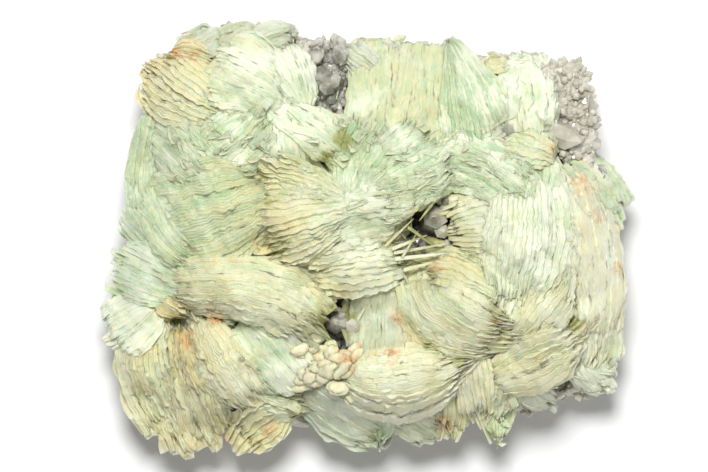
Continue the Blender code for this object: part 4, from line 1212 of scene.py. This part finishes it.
def stage_and_light():
    """White card, the lamps and a pale room."""
    bpy.ops.object.select_all(action="DESELECT")
    bpy.ops.mesh.primitive_plane_add(size=FLOOR_SIZE * MM)
    floor = bpy.context.object
    floor.name = "white_card"
    floor.data.materials.append(paper())

    world = bpy.data.worlds.new("pale_room")
    world.use_nodes = True
    room = world.node_tree.nodes["Background"]
    room.inputs["Color"].default_value = (1.0, 1.0, 1.0, 1.0)
    room.inputs["Strength"].default_value = 0.22
    bpy.context.scene.world = world

    for name, place, size, power in LAMPS:
        light = bpy.data.lights.new(name, "AREA")
        light.shape = "DISK"
        light.size = size
        light.energy = power
        lamp = bpy.data.objects.new(name, light)
        lamp.location = place
        lamp.rotation_euler = (-lamp.location).to_track_quat("-Z", "Y").to_euler()
        bpy.context.scene.collection.objects.link(lamp)


def camera():
    """Straight down, from far enough away that the specimen keeps its outline."""
    lens = SENSOR * (CAMERA_HEIGHT - SHARP_HEIGHT) / PHOTO_WIDTH_MM
    view = bpy.data.cameras.new("photo_view")
    view.sensor_width = SENSOR
    view.lens = lens
    view.clip_end = 10.0
    obj = bpy.data.objects.new("photo_view", view)
    obj.location = (PHOTO_CENTRE[0] * MM, PHOTO_CENTRE[1] * MM, CAMERA_HEIGHT * MM)
    bpy.context.scene.collection.objects.link(obj)
    bpy.context.scene.camera = obj


def main():
    waxy = prehnite("prehnite_plates", False)
    clear = prehnite("prehnite_clear", True)
    milky = druse("milky_quartz", MILK, SMOKE)
    grey = druse("grey_quartz", FOG, ASH)
    stony = rock()
    crust_ground = crust_heights()
    for seed, fan in enumerate(FANS):
        piece = whole_fan(fan, seed, crust_ground)
        finish_piece(piece, clear if fan.glassy else waxy, "prehnite_crust", 22)
    body = core(crust_ground)
    finish_piece(body, waxy, "prehnite_crust", 60)
    rocky_sides(body, stony)
    finish_piece(round_knobs(crust_ground), waxy, "prehnite_crust", 60)
    finish_piece(loose_laths(crust_ground), waxy, "prehnite_crust", 22)
    carrier = matrix_rock()
    finish_piece(carrier, stony, "quartz_matrix", 60)
    finish_piece(scraps(body, crust_ground), waxy, "prehnite_crust", 22)
    ground = ground_under(carrier)
    for seed, patch in enumerate(PATCHES):
        finish_piece(druse_patch(patch, seed, ground), grey if patch.grey else milky, "quartz_matrix", 20)
    rng = np.random.default_rng(SEED)
    finish_piece(crystals("quartz_crystals", CRYSTALS, rng), grey, "quartz_matrix", 20)
    finish_piece(crystals("pale_crystals", PALE_CRYSTALS, rng), milky, "quartz_matrix", 20)
    stage_and_light()
    camera()
    bpy.context.scene.view_settings.view_transform = "Standard"


main()
